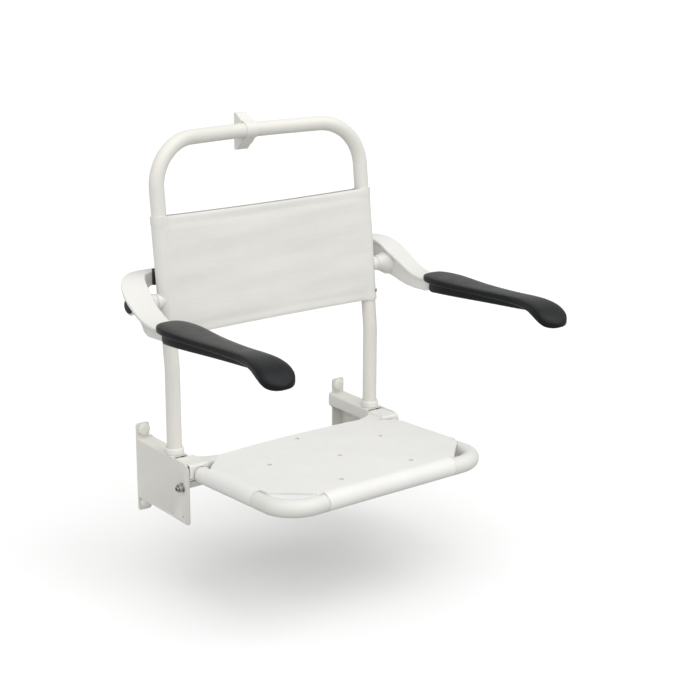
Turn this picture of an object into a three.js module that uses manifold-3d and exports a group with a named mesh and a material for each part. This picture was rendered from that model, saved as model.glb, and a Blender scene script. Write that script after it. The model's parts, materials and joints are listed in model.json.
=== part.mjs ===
// A wall-hung folding shower chair: two steel wall brackets carry a bent tube back frame with a
// stretched fabric back, a fold-up seat on a bent tube, and two fold-up arm supports.
//
// Frame: millimetres, +Z up, the sitter looks along -Y. The wall is the plane Y = 0, the chair's
// middle is X = 0, and Z = 0 is the top face of the two bracket arms.
// Right (+X) and left are as seen by someone who faces the chair. The pieces of the right-hand side
// are drawn once, and the left-hand side is their mirror image.

import * as THREE from 'three';
import { mergeVertices } from 'three/addons/utils/BufferGeometryUtils.js';
import Module from 'manifold-3d';

const wasm = await Module();
wasm.setup();

// ---------------------------------------------------------------- driving dimensions

const GAP = 0.3; // clearance between pieces that touch
const TUBE_RADIUS = 12.5;
const TUBE_BORE = 10.5;
const TUBE_ROOM = 13.3; // inside radius of a faceted sleeve that clears a tube by GAP
const TUBE_SIDES = 6; // facets in half of a tube's circle

// wall brackets
const SHEET = 2.5;
const PLATE_X = 223; // outer face of the outer plate
const FLANGE_X = 191; // outer face of the inner flange
const PLATE_DEPTH = 168.4;
const PLATE_HEIGHT = 107;
const FLANGE_HEIGHT = 22.7;
const TOP_DEPTH = 117; // how far the box part of the arm reaches from the wall
const TAB_TOP = 26;
const TAB_BOTTOM = -133;
const WALL_SCREW_X = 209.5;
const WALL_SCREW_HEIGHTS = { upper: 15, lower: -119.5 };
const FOOT_SHELF = 3; // thickness of the shelf that the back tube stands on

// back frame
const BACK_X = 207.5;
const BACK_Y = -101.7;
const BACK_FOOT = -61.7;
const BEND_HEIGHT = 149;
const RECLINE = THREE.MathUtils.degToRad(6.44);
const BACK_LENGTH = 371.3; // along the reclined part, from its bend to the top bar
const BACK_CORNER = 78;
const TOP_BAR_BOW = 32; // how far the middle of the top bar curves back towards the wall

// fabric back
const FABRIC_INSIDE = 12.9;
const FABRIC_OUTSIDE = 14.5;
const FABRIC_ROOM = 15.35; // radius of a faceted cut that clears the fabric round a tube by GAP
const FABRIC_FROM = 51;
const FABRIC_TO = 251;

// seat
const PIN_Y = -150;
const PIN_Z = -20;
const SEAT_TILT = THREE.MathUtils.degToRad(2.94);
const SEAT_X = 200;
const SEAT_FRONT = -268; // front tube, measured from the hinge pin
const SEAT_CORNER = 50;
const ROLL_RADIUS = 14.3;
const PANEL_TOP = 17.6; // above the hinge pin
const PANEL_THICKNESS = 4;
const REAR_CUT_START = 150; // where the panel's cut rear corners begin, along its rear edge
const SLEEVE_SIDE_END = -187;
const SLEEVE_FRONT_END = 128;
const DRAIN_RADIUS = 4.5;
const DRAIN_CIRCLE = 122;
const DRAIN_CENTRE = -137;

// hinge
const PIN_RADIUS = 6;
const BUSH_RADIUS = 8;
const KNUCKLE_RADIUS = 12.9;
const COVER_INSIDE = 184.7;
const COVER_OUTSIDE = 219.8;
const COVER_TOP = 19.3;
const STOP_BOLT_Z = -43.4;
const STOP_BOLT_RADIUS = 4;

// arm supports
const ARM_PIVOT_Y = -88.8;
const ARM_PIVOT_Z = 262;
const ARM_X = 270.5; // middle of the arm pad
const ARM_BOLT_RADIUS = 5;
const BOSS_START = 228;
const WEB_OUTSIDE = 276.6; // end of the casting's pivot boss, under the cap
const BOLT_HEAD = 269.6; // underside of the arm pivot bolt's head
const BAND_OUTSIDE = 291; // outer edge of the casting's top band
const TAIL_FRONT = -62; // front face of the casting's tail, behind the back tube
const TONGUE_END = -330; // how far the casting's tongue reaches into the pad

// top wall support
const SUPPORT_WIDTH = 23;
const SUPPORT_BORE = 13.2;

// ---------------------------------------------------------------- finishes

const LOOKS = {
  powderCoat: { color: 0xeceae2, roughness: 0.35, metalness: 0.0 },
  casting: { color: 0xefeee8, roughness: 0.35, metalness: 0.0 },
  seatPlastic: { color: 0xededea, roughness: 0.45, metalness: 0.0 },
  whitePlastic: { color: 0xe9e7df, roughness: 0.4, metalness: 0.0 },
  fabric: { color: 0xdcdbd6, roughness: 0.6, metalness: 0.0 },
  padFoam: { color: 0x3a3d3d, roughness: 0.55, metalness: 0.0 },
  rubber: { color: 0x1b1b1c, roughness: 0.7, metalness: 0.0 },
  bearing: { color: 0xd8d4c8, roughness: 0.5, metalness: 0.0 },
  stainless: { color: 0xb9b6ae, roughness: 0.3, metalness: 1.0 },
};

// ---------------------------------------------------------------- solids and their joins

// Turns a closed three.js geometry into a solid that can be joined and cut.
function solidOf(geometry) {
  const bare = geometry.clone();
  bare.deleteAttribute('normal');
  bare.deleteAttribute('uv');
  const merged = mergeVertices(bare, 1e-4);
  const corners = merged.attributes.position.array;
  const index = [];
  const order = merged.index.array;
  for (let i = 0; i < order.length; i += 3) {
    const [a, b, c] = [order[i], order[i + 1], order[i + 2]];
    if (a !== b && b !== c && c !== a) index.push(a, b, c);
  }
  if (signedVolume(corners, index) < 0) index.reverse();
  const mesh = new wasm.Mesh({
    numProp: 3,
    vertProperties: new Float32Array(corners),
    triVerts: new Uint32Array(index),
  });
  return new wasm.Manifold(mesh);
}

function signedVolume(corners, index) {
  let sum = 0;
  const corner = (i) => new THREE.Vector3().fromArray(corners, index[i] * 3);
  for (let i = 0; i < index.length; i += 3) {
    sum += corner(i).dot(corner(i + 1).cross(corner(i + 2)));
  }
  return sum / 6;
}

function geometryOf(solid) {
  const mesh = solid.getMesh();
  const geometry = new THREE.BufferGeometry();
  geometry.setAttribute('position', new THREE.BufferAttribute(mesh.vertProperties, 3));
  geometry.setIndex(new THREE.BufferAttribute(mesh.triVerts, 1));
  geometry.computeVertexNormals();
  return geometry;
}

const join = (first, ...others) => others.reduce((sum, next) => sum.add(next), first);
const cut = (first, ...others) => others.reduce((rest, next) => rest.subtract(next), first);
const mirrored = (solid) => solid.mirror([1, 0, 0]);

// ---------------------------------------------------------------- basic shapes

const vec = (x, y, z) => new THREE.Vector3(x, y, z);

function extruded(shape, depth, across, up, along, start, curveSegments) {
  const geometry = new THREE.ExtrudeGeometry(shape, {
    depth,
    bevelEnabled: false,
    curveSegments,
  });
  geometry.applyMatrix4(new THREE.Matrix4().makeBasis(across, up, along));
  geometry.translate(start.x, start.y, start.z);
  return solidOf(geometry);
}

// A shape drawn in (y, z), from x0 to x1.
function alongX(shape, x0, x1, curveSegments = 6) {
  return extruded(shape, x1 - x0, vec(0, 1, 0), vec(0, 0, 1), vec(1, 0, 0), vec(x0, 0, 0), curveSegments);
}

// A shape drawn in (x, z), from y0 to y1.
function alongY(shape, y0, y1, curveSegments = 6) {
  return extruded(shape, y1 - y0, vec(1, 0, 0), vec(0, 0, 1), vec(0, -1, 0), vec(0, y1, 0), curveSegments);
}

// A shape drawn in (x, y), from z0 to z1.
function alongZ(shape, z0, z1, curveSegments = 6) {
  return extruded(shape, z1 - z0, vec(1, 0, 0), vec(0, 1, 0), vec(0, 0, 1), vec(0, 0, z0), curveSegments);
}

function box(x0, x1, y0, y1, z0, z1) {
  const geometry = new THREE.BoxGeometry(x1 - x0, y1 - y0, z1 - z0);
  geometry.translate((x0 + x1) / 2, (y0 + y1) / 2, (z0 + z1) / 2);
  return solidOf(geometry);
}

// Rotations that lay a turned profile's axis along a direction: along a frame axis, halfway between
// outwards and forwards, or halfway between forwards and down.
const TURN = {
  x: new THREE.Matrix4().makeRotationZ(-Math.PI / 2),
  y: new THREE.Matrix4(),
  z: new THREE.Matrix4().makeRotationX(Math.PI / 2),
  outForward: new THREE.Matrix4().makeRotationZ((-3 * Math.PI) / 4),
  downForward: new THREE.Matrix4().makeRotationX((-3 * Math.PI) / 4),
};

// A profile of [radius, distance along the axis] pairs, turned round an axis through a centre.
function turned(profile, axis, centre, sides = 16) {
  const points = profile.map(([radius, along]) => new THREE.Vector2(radius, along));
  const geometry = new THREE.LatheGeometry(points, sides);
  geometry.applyMatrix4(TURN[axis]);
  geometry.translate(centre.x, centre.y, centre.z);
  return solidOf(geometry);
}

function rod(radius, from, to, axis, centre, sides = 16) {
  return turned([[0, from], [radius, from], [radius, to], [0, to]], axis, centre, sides);
}

function ring(inner, outer, from, to, axis, centre, sides = 16) {
  const profile = [[inner, from], [outer, from], [outer, to], [inner, to], [inner, from]];
  return turned(profile, axis, centre, sides);
}

function polygon(points) {
  return new THREE.Shape(points.map(([a, b]) => new THREE.Vector2(a, b)));
}

// A polygon whose corners are rounded: each point is [a, b, corner radius].
function roundedPolygon(points) {
  const shape = new THREE.Shape();
  const count = points.length;
  points.forEach(([a, b, radius = 0], i) => {
    const here = new THREE.Vector2(a, b);
    const before = new THREE.Vector2(...points[(i + count - 1) % count]);
    const after = new THREE.Vector2(...points[(i + 1) % count]);
    const back = before.sub(here).normalize();
    const ahead = after.sub(here).normalize();
    const halfAngle = Math.acos(THREE.MathUtils.clamp(back.dot(ahead), -1, 1)) / 2;
    const setback = radius / Math.tan(halfAngle);
    const entry = here.clone().addScaledVector(back, setback);
    const exit = here.clone().addScaledVector(ahead, setback);
    if (i === 0) shape.moveTo(entry.x, entry.y);
    else shape.lineTo(entry.x, entry.y);
    if (radius > 0) shape.quadraticCurveTo(here.x, here.y, exit.x, exit.y);
  });
  return shape;
}

function circle(radius, a = 0, b = 0) {
  return new THREE.Shape().absarc(a, b, radius, 0, Math.PI * 2);
}

// A curve that passes through given stations, so a straight run needs only its two ends.
class StationCurve extends THREE.Curve {
  constructor(stations) {
    super();
    this.stations = stations;
  }

  indexAt(u) {
    return Math.round(u * (this.stations.length - 1));
  }

  getPoint(u, target = new THREE.Vector3()) {
    return target.copy(this.stations[this.indexAt(u)]);
  }

  getPointAt(u, target) {
    return this.getPoint(u, target);
  }

  getTangentAt(u, target = new THREE.Vector3()) {
    const i = this.indexAt(u);
    const before = this.stations[Math.max(i - 1, 0)];
    const after = this.stations[Math.min(i + 1, this.stations.length - 1)];
    return target.copy(after).sub(before).normalize();
  }
}

// A round tube through stations; with a bore it is open at both ends.
function tube(stations, radius, bore = 0, curveSegments = TUBE_SIDES) {
  const section = circle(radius);
  if (bore > 0) section.holes.push(new THREE.Path().absarc(0, 0, bore, 0, Math.PI * 2, true));
  const geometry = new THREE.ExtrudeGeometry(section, {
    steps: stations.length - 1,
    bevelEnabled: false,
    curveSegments,
    extrudePath: new StationCurve(stations),
  });
  return solidOf(geometry);
}

// ---------------------------------------------------------------- places on the back frame

// The point at height `along` on the reclined plane, `behind` it, at width x.
function onBack(x, along, behind = 0) {
  const y = BACK_Y + along * Math.sin(RECLINE) + behind * Math.cos(RECLINE);
  const z = BEND_HEIGHT + along * Math.cos(RECLINE) - behind * Math.sin(RECLINE);
  return vec(x, y, z);
}

const PIVOT = vec(0, ARM_PIVOT_Y, ARM_PIVOT_Z);
const FABRIC_SCREW = onBack(BACK_X, FABRIC_FROM + 16.8);

const topBarBow = (x) => TOP_BAR_BOW * (0.5 + 0.5 * Math.cos((Math.PI * x) / BACK_X));

// Axis of the whole back tube, foot to foot.
function backStations() {
  const bendSetback = 3.4;
  const stations = [
    vec(BACK_X, BACK_Y, BACK_FOOT),
    vec(BACK_X, BACK_Y, BEND_HEIGHT - bendSetback),
    onBack(BACK_X, bendSetback),
  ];
  const arcSteps = 6;
  for (let i = 0; i <= arcSteps; i++) {
    const angle = ((Math.PI / 2) * i) / arcSteps;
    const x = BACK_X - BACK_CORNER + BACK_CORNER * Math.cos(angle);
    const along = BACK_LENGTH - BACK_CORNER + BACK_CORNER * Math.sin(angle);
    stations.push(onBack(x, along, topBarBow(x)));
  }
  const barSteps = 4;
  const barEnd = BACK_X - BACK_CORNER;
  for (let i = 1; i <= barSteps; i++) {
    const x = barEnd * (1 - i / barSteps);
    stations.push(onBack(x, BACK_LENGTH, topBarBow(x)));
  }
  const otherHalf = stations.slice(0, -1).reverse();
  return [...stations, ...otherHalf.map((p) => vec(-p.x, p.y, p.z))];
}

// ---------------------------------------------------------------- wall brackets

function wallBracket() {
  const inner = PLATE_X - SHEET;
  const profile = roundedPolygon([
    [PLATE_X, -PLATE_HEIGHT],
    [PLATE_X, 0, 3],
    [FLANGE_X, 0, 5],
    [FLANGE_X, -FLANGE_HEIGHT],
    [FLANGE_X + SHEET, -FLANGE_HEIGHT],
    [FLANGE_X + SHEET, -SHEET, 2.5],
    [inner, -SHEET, 1],
    [inner, -PLATE_HEIGHT],
  ]);
  const channel = alongY(profile, -TOP_DEPTH, 0, 3);
  const plate = alongX(
    roundedPolygon([
      [-PLATE_DEPTH, 0, 14],
      [-PLATE_DEPTH, -PLATE_HEIGHT, 8],
      [-100, -PLATE_HEIGHT],
      [-100, 0],
    ]),
    inner,
    PLATE_X,
    5,
  );
  const wallPlate = alongY(
    roundedPolygon([
      [198, TAB_TOP, 4],
      [198, 0],
      [FLANGE_X, 0],
      [FLANGE_X, -FLANGE_HEIGHT, 3],
      [198, -FLANGE_HEIGHT - 6],
      [198, TAB_BOTTOM, 4],
      [PLATE_X, TAB_BOTTOM, 4],
      [PLATE_X, TAB_TOP, 4],
    ]),
    -3,
    0,
    3,
  );
  const shelfTop = BACK_FOOT - GAP;
  const footShelf = box(
    FLANGE_X + SHEET + 1, inner + 0.2, BACK_Y - 14, BACK_Y + 14, shelfTop - FOOT_SHELF, shelfTop,
  );
  const slitTop = -SHEET - 3;
  const slit = box(
    FLANGE_X - 1, FLANGE_X + SHEET + 0.5, -TOP_DEPTH - 1, -TOP_DEPTH + 4, -FLANGE_HEIGHT - 1, slitTop,
  );
  const screwHoles = Object.values(WALL_SCREW_HEIGHTS).map((z) =>
    rod(2.9, -4, 1, 'y', vec(WALL_SCREW_X, 0, z), 12),
  );
  const plateHole = (radius, y, z) => rod(radius, inner - 1, PLATE_X + 1, 'x', vec(0, y, z), 12);
  return cut(
    join(channel, plate, wallPlate, footShelf),
    ...screwHoles,
    rod(TUBE_ROOM, -SHEET - 1, 1, 'z', vec(BACK_X, BACK_Y, 0), 14),
    rod(3.3, BACK_FOOT - 5, BACK_FOOT + 1, 'z', vec(BACK_X, BACK_Y, 0), 12),
    slit,
    plateHole(STOP_BOLT_RADIUS + GAP, PIN_Y, STOP_BOLT_Z),
    plateHole(2.3, -149, -97),
    plateHole(2.3, -116, -101),
  );
}

function wallScrew(z) {
  const profile = [[0, -7.2], [3, -7.2], [6, -5], [6, -3.3], [2.6, -3.3], [2.6, -GAP], [0, -GAP]];
  return turned(profile, 'y', vec(WALL_SCREW_X, 0, z), 14);
}

function wallScrewCap(z) {
  const profile = [
    [0, -11], [6, -10.5], [10, -8.2], [11, -5], [11, -3.3], [7, -3.3], [7, -8.2], [0, -8.2],
  ];
  return turned(profile, 'y', vec(WALL_SCREW_X, 0, z), 16);
}

function tubeCollar() {
  const inner = TUBE_ROOM;
  const profile = [[inner, GAP], [15.4, GAP], [15.4, 8], [14.4, 11.5], [inner, 11.5], [inner, GAP]];
  return turned(profile, 'z', vec(BACK_X, BACK_Y, 0), 2 * TUBE_SIDES);
}

function tubeFootScrew() {
  const top = BACK_FOOT - FOOT_SHELF - 2 * GAP;
  const profile = [[0, top - 4], [5, top - 4], [5, top], [3, top], [3, -50], [0, -50]];
  return turned(profile, 'z', vec(BACK_X, BACK_Y, 0), 12);
}

// ---------------------------------------------------------------- back frame and its fabric

// The arm's pivot bolt and the fabric's screw pass into the right-hand tube here.
function tubeSideHoles() {
  const boltHole = rod(ARM_BOLT_RADIUS + GAP, 212, 226, 'x', PIVOT, 12);
  return [boltHole, rod(2, 8, 17, 'outForward', FABRIC_SCREW, 8)];
}

function backFrameTube() {
  const centre = vec(BACK_X, BACK_Y, 0);
  const foot = ring(3.3, TUBE_RADIUS - 0.5, BACK_FOOT, BACK_FOOT + 3, 'z', centre, 2 * TUBE_SIDES);
  const holes = tubeSideHoles();
  const bent = tube(backStations(), TUBE_RADIUS, TUBE_BORE);
  return cut(join(bent, foot, mirrored(foot)), ...holes, ...holes.map(mirrored));
}

function fabricScrew() {
  const outside = FABRIC_OUTSIDE + GAP;
  const profile = [
    [0, outside - 4.5], [1.7, outside - 4.5], [1.7, outside], [3.2, outside],
    [2.8, outside + 0.8], [0, outside + 1.2],
  ];
  return turned(profile, 'outForward', FABRIC_SCREW, 10);
}

// A loop of fabric that passes round both side tubes, drawn flat and laid on the reclined plane.
function fabricBack() {
  const loop = (radius, Kind) => {
    const path = new Kind();
    path.absarc(BACK_X, 0, radius, -Math.PI / 2, Math.PI / 2);
    path.absarc(-BACK_X, 0, radius, Math.PI / 2, (Math.PI * 3) / 2);
    return path;
  };
  const section = loop(FABRIC_OUTSIDE, THREE.Shape);
  section.holes.push(loop(FABRIC_INSIDE, THREE.Path));
  const geometry = new THREE.ExtrudeGeometry(section, {
    depth: FABRIC_TO - FABRIC_FROM,
    bevelEnabled: false,
    curveSegments: TUBE_SIDES,
  });
  geometry.translate(0, 0, FABRIC_FROM);
  geometry.rotateX(-RECLINE);
  geometry.translate(0, BACK_Y, BEND_HEIGHT);
  const holes = tubeSideHoles();
  return cut(solidOf(geometry), ...holes, ...holes.map(mirrored));
}

// ---------------------------------------------------------------- top wall support

const BAR_MIDDLE = onBack(0, BACK_LENGTH, TOP_BAR_BOW);

// Side outlines are (y, z) pairs measured from the middle of the top bar.
const supportOutline = (points) =>
  roundedPolygon(points.map(([y, z, r]) => [y + BAR_MIDDLE.y, z + BAR_MIDDLE.z, r]));
const acrossSupport = (points) =>
  alongX(supportOutline(points), -SUPPORT_WIDTH / 2, SUPPORT_WIDTH / 2, 3);
const supportBore = () => rod(SUPPORT_BORE, -20, 20, 'x', BAR_MIDDLE, 24);
const WALL_AT = -BAR_MIDDLE.y;
const CLAMP_SCREW = vec(0, BAR_MIDDLE.y + 6.3, BAR_MIDDLE.z - 21);

function topSupportBase() {
  const block = acrossSupport([
    [WALL_AT, 27],
    [WALL_AT, -36],
    [WALL_AT - 7, -36, 2],
    [0, -14.5],
    [0, 13],
    [WALL_AT - 5, 27, 1.5],
  ]);
  const centre = vec(0, 0, BAR_MIDDLE.z + 20.5);
  const wallScrewHole = rod(2.6, -30, 2, 'y', centre, 10);
  const headRecess = rod(4.6, -30, -5, 'y', centre, 12);
  return cut(block, supportBore(), wallScrewHole, headRecess, rod(2, -9, 3, 'downForward', CLAMP_SCREW, 8));
}

// A thin strap round the front of the top bar, hooked over the base above and screwed to it below.
function topSupportClamp() {
  const half = SUPPORT_WIDTH / 2;
  const band = rod(SUPPORT_BORE + 1.9, -half, half, 'x', BAR_MIDDLE, 24);
  const front = box(-20, 20, BAR_MIDDLE.y - 30, BAR_MIDDLE.y - GAP, 440, 580);
  const hook = acrossSupport([[-0.5, 13.2], [4, 15.9], [3.2, 17.3], [-2.1, 14.1], [-2.1, 13.4]]);
  const ear = acrossSupport([[-0.5, -14.2], [9.5, -24.6], [8.4, -25.7], [-2.1, -15.3], [-2.1, -14.2]]);
  const screwHole = rod(2, -1, 6, 'downForward', CLAMP_SCREW, 8);
  return cut(join(band.intersect(front), hook, ear), supportBore(), screwHole);
}

function topSupportClampScrew() {
  const profile = [[0, -8], [1.7, -8], [1.7, 2.3], [3.6, 2.3], [3.4, 3.6], [0, 4.3]];
  return turned(profile, 'downForward', CLAMP_SCREW, 10);
}

function topSupportScrew() {
  const profile = [[0, -8], [4.2, -8], [4.2, -5.3], [2.3, -5.3], [2.3, -GAP], [0, -GAP]];
  return turned(profile, 'y', vec(0, 0, BAR_MIDDLE.z + 20.5), 12);
}

// ---------------------------------------------------------------- seat hinge, on the bracket side

function hingePin() {
  const headEnd = COVER_INSIDE + SHEET + GAP;
  const profile = [
    [0, headEnd], [8.4, headEnd], [8.4, 190.2], [PIN_RADIUS, 190.2],
    [PIN_RADIUS, PLATE_X - SHEET - GAP], [0, PLATE_X - SHEET - GAP],
  ];
  return turned(profile, 'x', vec(0, PIN_Y, PIN_Z), 18);
}

function stopBolt() {
  const profile = [[0, 198], [3.2, 198], [4, 199], [4, 234.4], [3.2, 235.4], [0, 235.4]];
  return turned(profile, 'x', vec(0, PIN_Y, STOP_BOLT_Z), 14);
}

const stopBoltWasher = () =>
  ring(STOP_BOLT_RADIUS + GAP, 8, PLATE_X + GAP, PLATE_X + 2, 'x', vec(0, PIN_Y, STOP_BOLT_Z), 20);

function stopBoltNut() {
  const across = 6.5 / Math.cos(Math.PI / 6);
  const centre = vec(0, PIN_Y, STOP_BOLT_Z);
  const hexagon = rod(across, PLATE_X + 2.3, PLATE_X + 8.6, 'x', centre, 6);
  return cut(hexagon, rod(STOP_BOLT_RADIUS + GAP, PLATE_X, PLATE_X + 12, 'x', centre, 14));
}

// ---------------------------------------------------------------- seat, about its hinge pin
// Inside these functions y and z are measured from the hinge pin, with the seat panel level.

const ORIGIN = vec(0, 0, 0);

function seatCornerStations(side, from, to) {
  const arcSteps = 5;
  const stations = [vec(side * SEAT_X, from, 0)];
  for (let i = 0; i <= arcSteps; i++) {
    const angle = ((Math.PI / 2) * i) / arcSteps;
    const x = SEAT_X - SEAT_CORNER + SEAT_CORNER * Math.cos(angle);
    const y = SEAT_FRONT + SEAT_CORNER - SEAT_CORNER * Math.sin(angle);
    stations.push(vec(side * x, y, 0));
  }
  if (to !== undefined) stations.push(vec(side * to, SEAT_FRONT, 0));
  return stations;
}

function seatFrameTube() {
  const rightHalf = seatCornerStations(1, 0);
  const leftHalf = seatCornerStations(-1, 0).reverse();
  const bent = tube([...rightHalf, ...leftHalf], TUBE_RADIUS, TUBE_BORE);
  const spans = [[190.5, 219.5], [-219.5, -190.5]];
  const knuckles = spans.map(([from, to]) => rod(KNUCKLE_RADIUS, from, to, 'x', ORIGIN, 16));
  const bores = spans.map(([from, to]) => rod(BUSH_RADIUS + GAP, from - 1, to + 1, 'x', ORIGIN, 16));
  const headRoom = [[183, 190.5], [-190.5, -183]];
  const rooms = headRoom.map(([from, to]) => rod(9.4, from, to, 'x', ORIGIN, 16));
  const behind = box(-230, 230, KNUCKLE_RADIUS - 20, 20, -20, 20);
  const tubeOnly = cut(bent, behind);
  const drain = rod(3, -16, -8, 'z', vec(0, SEAT_FRONT, 0), 8);
  return cut(join(tubeOnly, ...knuckles), ...bores, ...rooms, drain);
}

const hingeBush = () =>
  ring(PIN_RADIUS + GAP, BUSH_RADIUS, 190.8, 219.2, 'x', ORIGIN, 16);

// Moulded cover over the hinge, with a wing that fills the seat panel's cut rear corner and a stop
// lug that rests against the stop bolt when the seat is down. Its front is open below the tube.
function hingeCover() {
  const skin = 2.3;
  const front = -21;
  const back = 30.5;
  const lugBack = -3.2;
  const lugBottom = -24;
  const outline = [
    [back, COVER_TOP, 6],
    [back, 9],
    [back - skin, 9],
    [back - skin, COVER_TOP - skin, 3],
    [front + skin, COVER_TOP - skin, 2],
    [front + skin, -KNUCKLE_RADIUS - 0.6],
    [lugBack, -KNUCKLE_RADIUS - 0.6],
    [lugBack, lugBottom],
    [front, lugBottom, 3],
    [front, COVER_TOP, 5],
  ];
  const shell = alongX(roundedPolygon(outline), COVER_INSIDE, COVER_OUTSIDE, 4);
  const wall = alongX(
    roundedPolygon([
      [back, COVER_TOP, 6],
      [back, 4],
      [14, -12],
      [lugBack, lugBottom],
      [front, lugBottom, 3],
      [front, COVER_TOP, 5],
    ]),
    COVER_INSIDE,
    COVER_INSIDE + SHEET,
    4,
  );
  const wingFront = front + 0.4;
  const besidePanel = 0.9;
  const wing = polygon([
    [COVER_INSIDE + 1, wingFront],
    [REAR_CUT_START - wingFront + besidePanel, wingFront],
    [REAR_CUT_START + besidePanel, 0],
    [REAR_CUT_START + besidePanel, 3.2],
    [158, 4.8],
    [168, 7.6],
    [176, 12],
    [COVER_INSIDE + 1, 20],
  ]);
  const underside = PANEL_TOP - PANEL_THICKNESS;
  const plate = alongZ(wing, underside, PANEL_TOP);
  const wingFace = box(172, COVER_INSIDE + 1, wingFront, wingFront + SHEET, 1, underside + 1);
  const tubeRoom = rod(TUBE_ROOM, front - 2, -6, 'y', vec(SEAT_X, 0, 0), 16);
  const stopLug = 5; // thickness of the lug, front to back
  const underTube = box(
    COVER_INSIDE + SHEET, COVER_OUTSIDE + 1, front - 1, lugBack - stopLug, lugBottom - 1, -4,
  );
  return cut(join(shell, wall, plate, wingFace), tubeRoom, underTube);
}

// Cross section (x, z) of the panel where it wraps a tube: flat on top, round outside and below.
function rollSection() {
  const shape = new THREE.Shape();
  shape.moveTo(-ROLL_RADIUS, PANEL_TOP);
  shape.lineTo(-ROLL_RADIUS, 0);
  shape.absarc(0, 0, ROLL_RADIUS, Math.PI, Math.PI * 2);
  shape.absellipse(-4, 0, ROLL_RADIUS + 4, PANEL_TOP, 0, Math.PI / 2);
  shape.holes.push(new THREE.Path().absarc(0, 0, TUBE_ROOM, 0, Math.PI * 2, true));
  return shape;
}

const ROLL_SIDES = 5;
const ROLL_BACK = -28;

function sideRoll() {
  const wrapped = new THREE.ExtrudeGeometry(rollSection(), {
    depth: -SLEEVE_SIDE_END - 52,
    bevelEnabled: false,
    curveSegments: ROLL_SIDES,
  });
  wrapped.rotateX(Math.PI / 2);
  wrapped.translate(SEAT_X, -52, 0);
  const rearRing = ring(
    TUBE_ROOM, ROLL_RADIUS, -52.5, ROLL_BACK, 'y', vec(SEAT_X, 0, 0), 4 * ROLL_SIDES,
  );
  return join(solidOf(wrapped), rearRing);
}

function frontRoll() {
  const wrapped = new THREE.ExtrudeGeometry(rollSection(), {
    depth: 2 * SLEEVE_FRONT_END,
    bevelEnabled: false,
    curveSegments: ROLL_SIDES,
  });
  wrapped.applyMatrix4(new THREE.Matrix4().makeBasis(vec(0, -1, 0), vec(0, 0, 1), vec(-1, 0, 0)));
  wrapped.translate(SLEEVE_FRONT_END, SEAT_FRONT, 0);
  return solidOf(wrapped);
}

function drainPositions() {
  const positions = [[0, DRAIN_CENTRE]];
  for (let i = 0; i < 5; i++) {
    const angle = Math.PI / 2 + (i * Math.PI * 2) / 5;
    const x = DRAIN_CIRCLE * Math.cos(angle);
    positions.push([x, DRAIN_CENTRE + DRAIN_CIRCLE * Math.sin(angle)]);
  }
  return positions;
}

const CROSS_BAR_Y = -36;
const PANEL_SCREW_X = 100;

function seatPanel() {
  const edge = SEAT_X - 4;
  const frontEdge = SEAT_FRONT + 4;
  const cornerLine = 404; // where |x| + |y| reaches this, the front corners are cut away
  const underside = PANEL_TOP - PANEL_THICKNESS;
  const outline = polygon([
    [-edge, -(edge - REAR_CUT_START)],
    [-edge, -(cornerLine - edge)],
    [-(cornerLine + frontEdge), frontEdge],
    [cornerLine + frontEdge, frontEdge],
    [edge, -(cornerLine - edge)],
    [edge, -(edge - REAR_CUT_START)],
    [REAR_CUT_START, 0],
  ]);
  outline.quadraticCurveTo(0, 16, -REAR_CUT_START, 0);
  const sheet = alongZ(outline, underside, PANEL_TOP, 6);
  const right = sideRoll();
  const ribTop = underside + 1;
  const ribBottom = 4;
  const ribsAcross = [[-70, 180], [-168, 180], [-215, 150]].map(([y, half]) =>
    box(-half, half, y - 1.5, y + 1.5, ribBottom, ribTop),
  );
  const ribsAlong = [[-150, -215], [-40, -246], [40, -246], [150, -215]].map(([x, end]) =>
    box(x - 1.5, x + 1.5, end, -52, ribBottom, ribTop),
  );
  const bosses = [-PANEL_SCREW_X, PANEL_SCREW_X].map((x) =>
    ring(2.6, 6, 10.4, underside + 1, 'z', vec(x, CROSS_BAR_Y, 0), 12),
  );
  const screwRooms = [-PANEL_SCREW_X, PANEL_SCREW_X].map((x) =>
    rod(2.6, 9, underside, 'z', vec(x, CROSS_BAR_Y, 0), 12),
  );
  const drains = drainPositions().map(([x, y]) => rod(DRAIN_RADIUS, 0, 30, 'z', vec(x, y, 0), 10));
  const sleeveRoom = [1, -1].map((side) =>
    tube(seatCornerStations(side, SLEEVE_SIDE_END, SLEEVE_FRONT_END), ROLL_RADIUS + 2 * GAP),
  );
  const tubeRoom = [1, -1].map((side) =>
    tube(seatCornerStations(side, -20, 40), TUBE_ROOM),
  );
  const barRoom = rod(10.6, -SEAT_X + 8, SEAT_X - 8, 'x', vec(0, CROSS_BAR_Y, 0), 16);
  const whole = join(sheet, right, mirrored(right), frontRoll(), ...ribsAcross, ...ribsAlong, ...bosses);
  return cut(whole, ...drains, ...screwRooms, ...sleeveRoom, ...tubeRoom, barRoom);
}

function cornerSleeve() {
  const stations = seatCornerStations(1, SLEEVE_SIDE_END - GAP, SLEEVE_FRONT_END + GAP);
  return tube(stations, ROLL_RADIUS, TUBE_ROOM);
}

function crossBar() {
  const half = SEAT_X - TUBE_RADIUS - GAP;
  const bar = ring(8, 10, -half, half, 'x', vec(0, CROSS_BAR_Y, 0), 16);
  const holes = [-PANEL_SCREW_X, PANEL_SCREW_X].map((x) =>
    rod(2.6, -12, 12, 'z', vec(x, CROSS_BAR_Y, 0), 10),
  );
  return cut(bar, ...holes);
}

function panelScrew() {
  const profile = [[0, -13.6], [4.4, -12.8], [4.4, -10.5], [2.2, -10.5], [2.2, 13.2], [0, 13.2]];
  return turned(profile, 'z', vec(PANEL_SCREW_X, CROSS_BAR_Y, 0), 12);
}

// ---------------------------------------------------------------- arm supports

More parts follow.
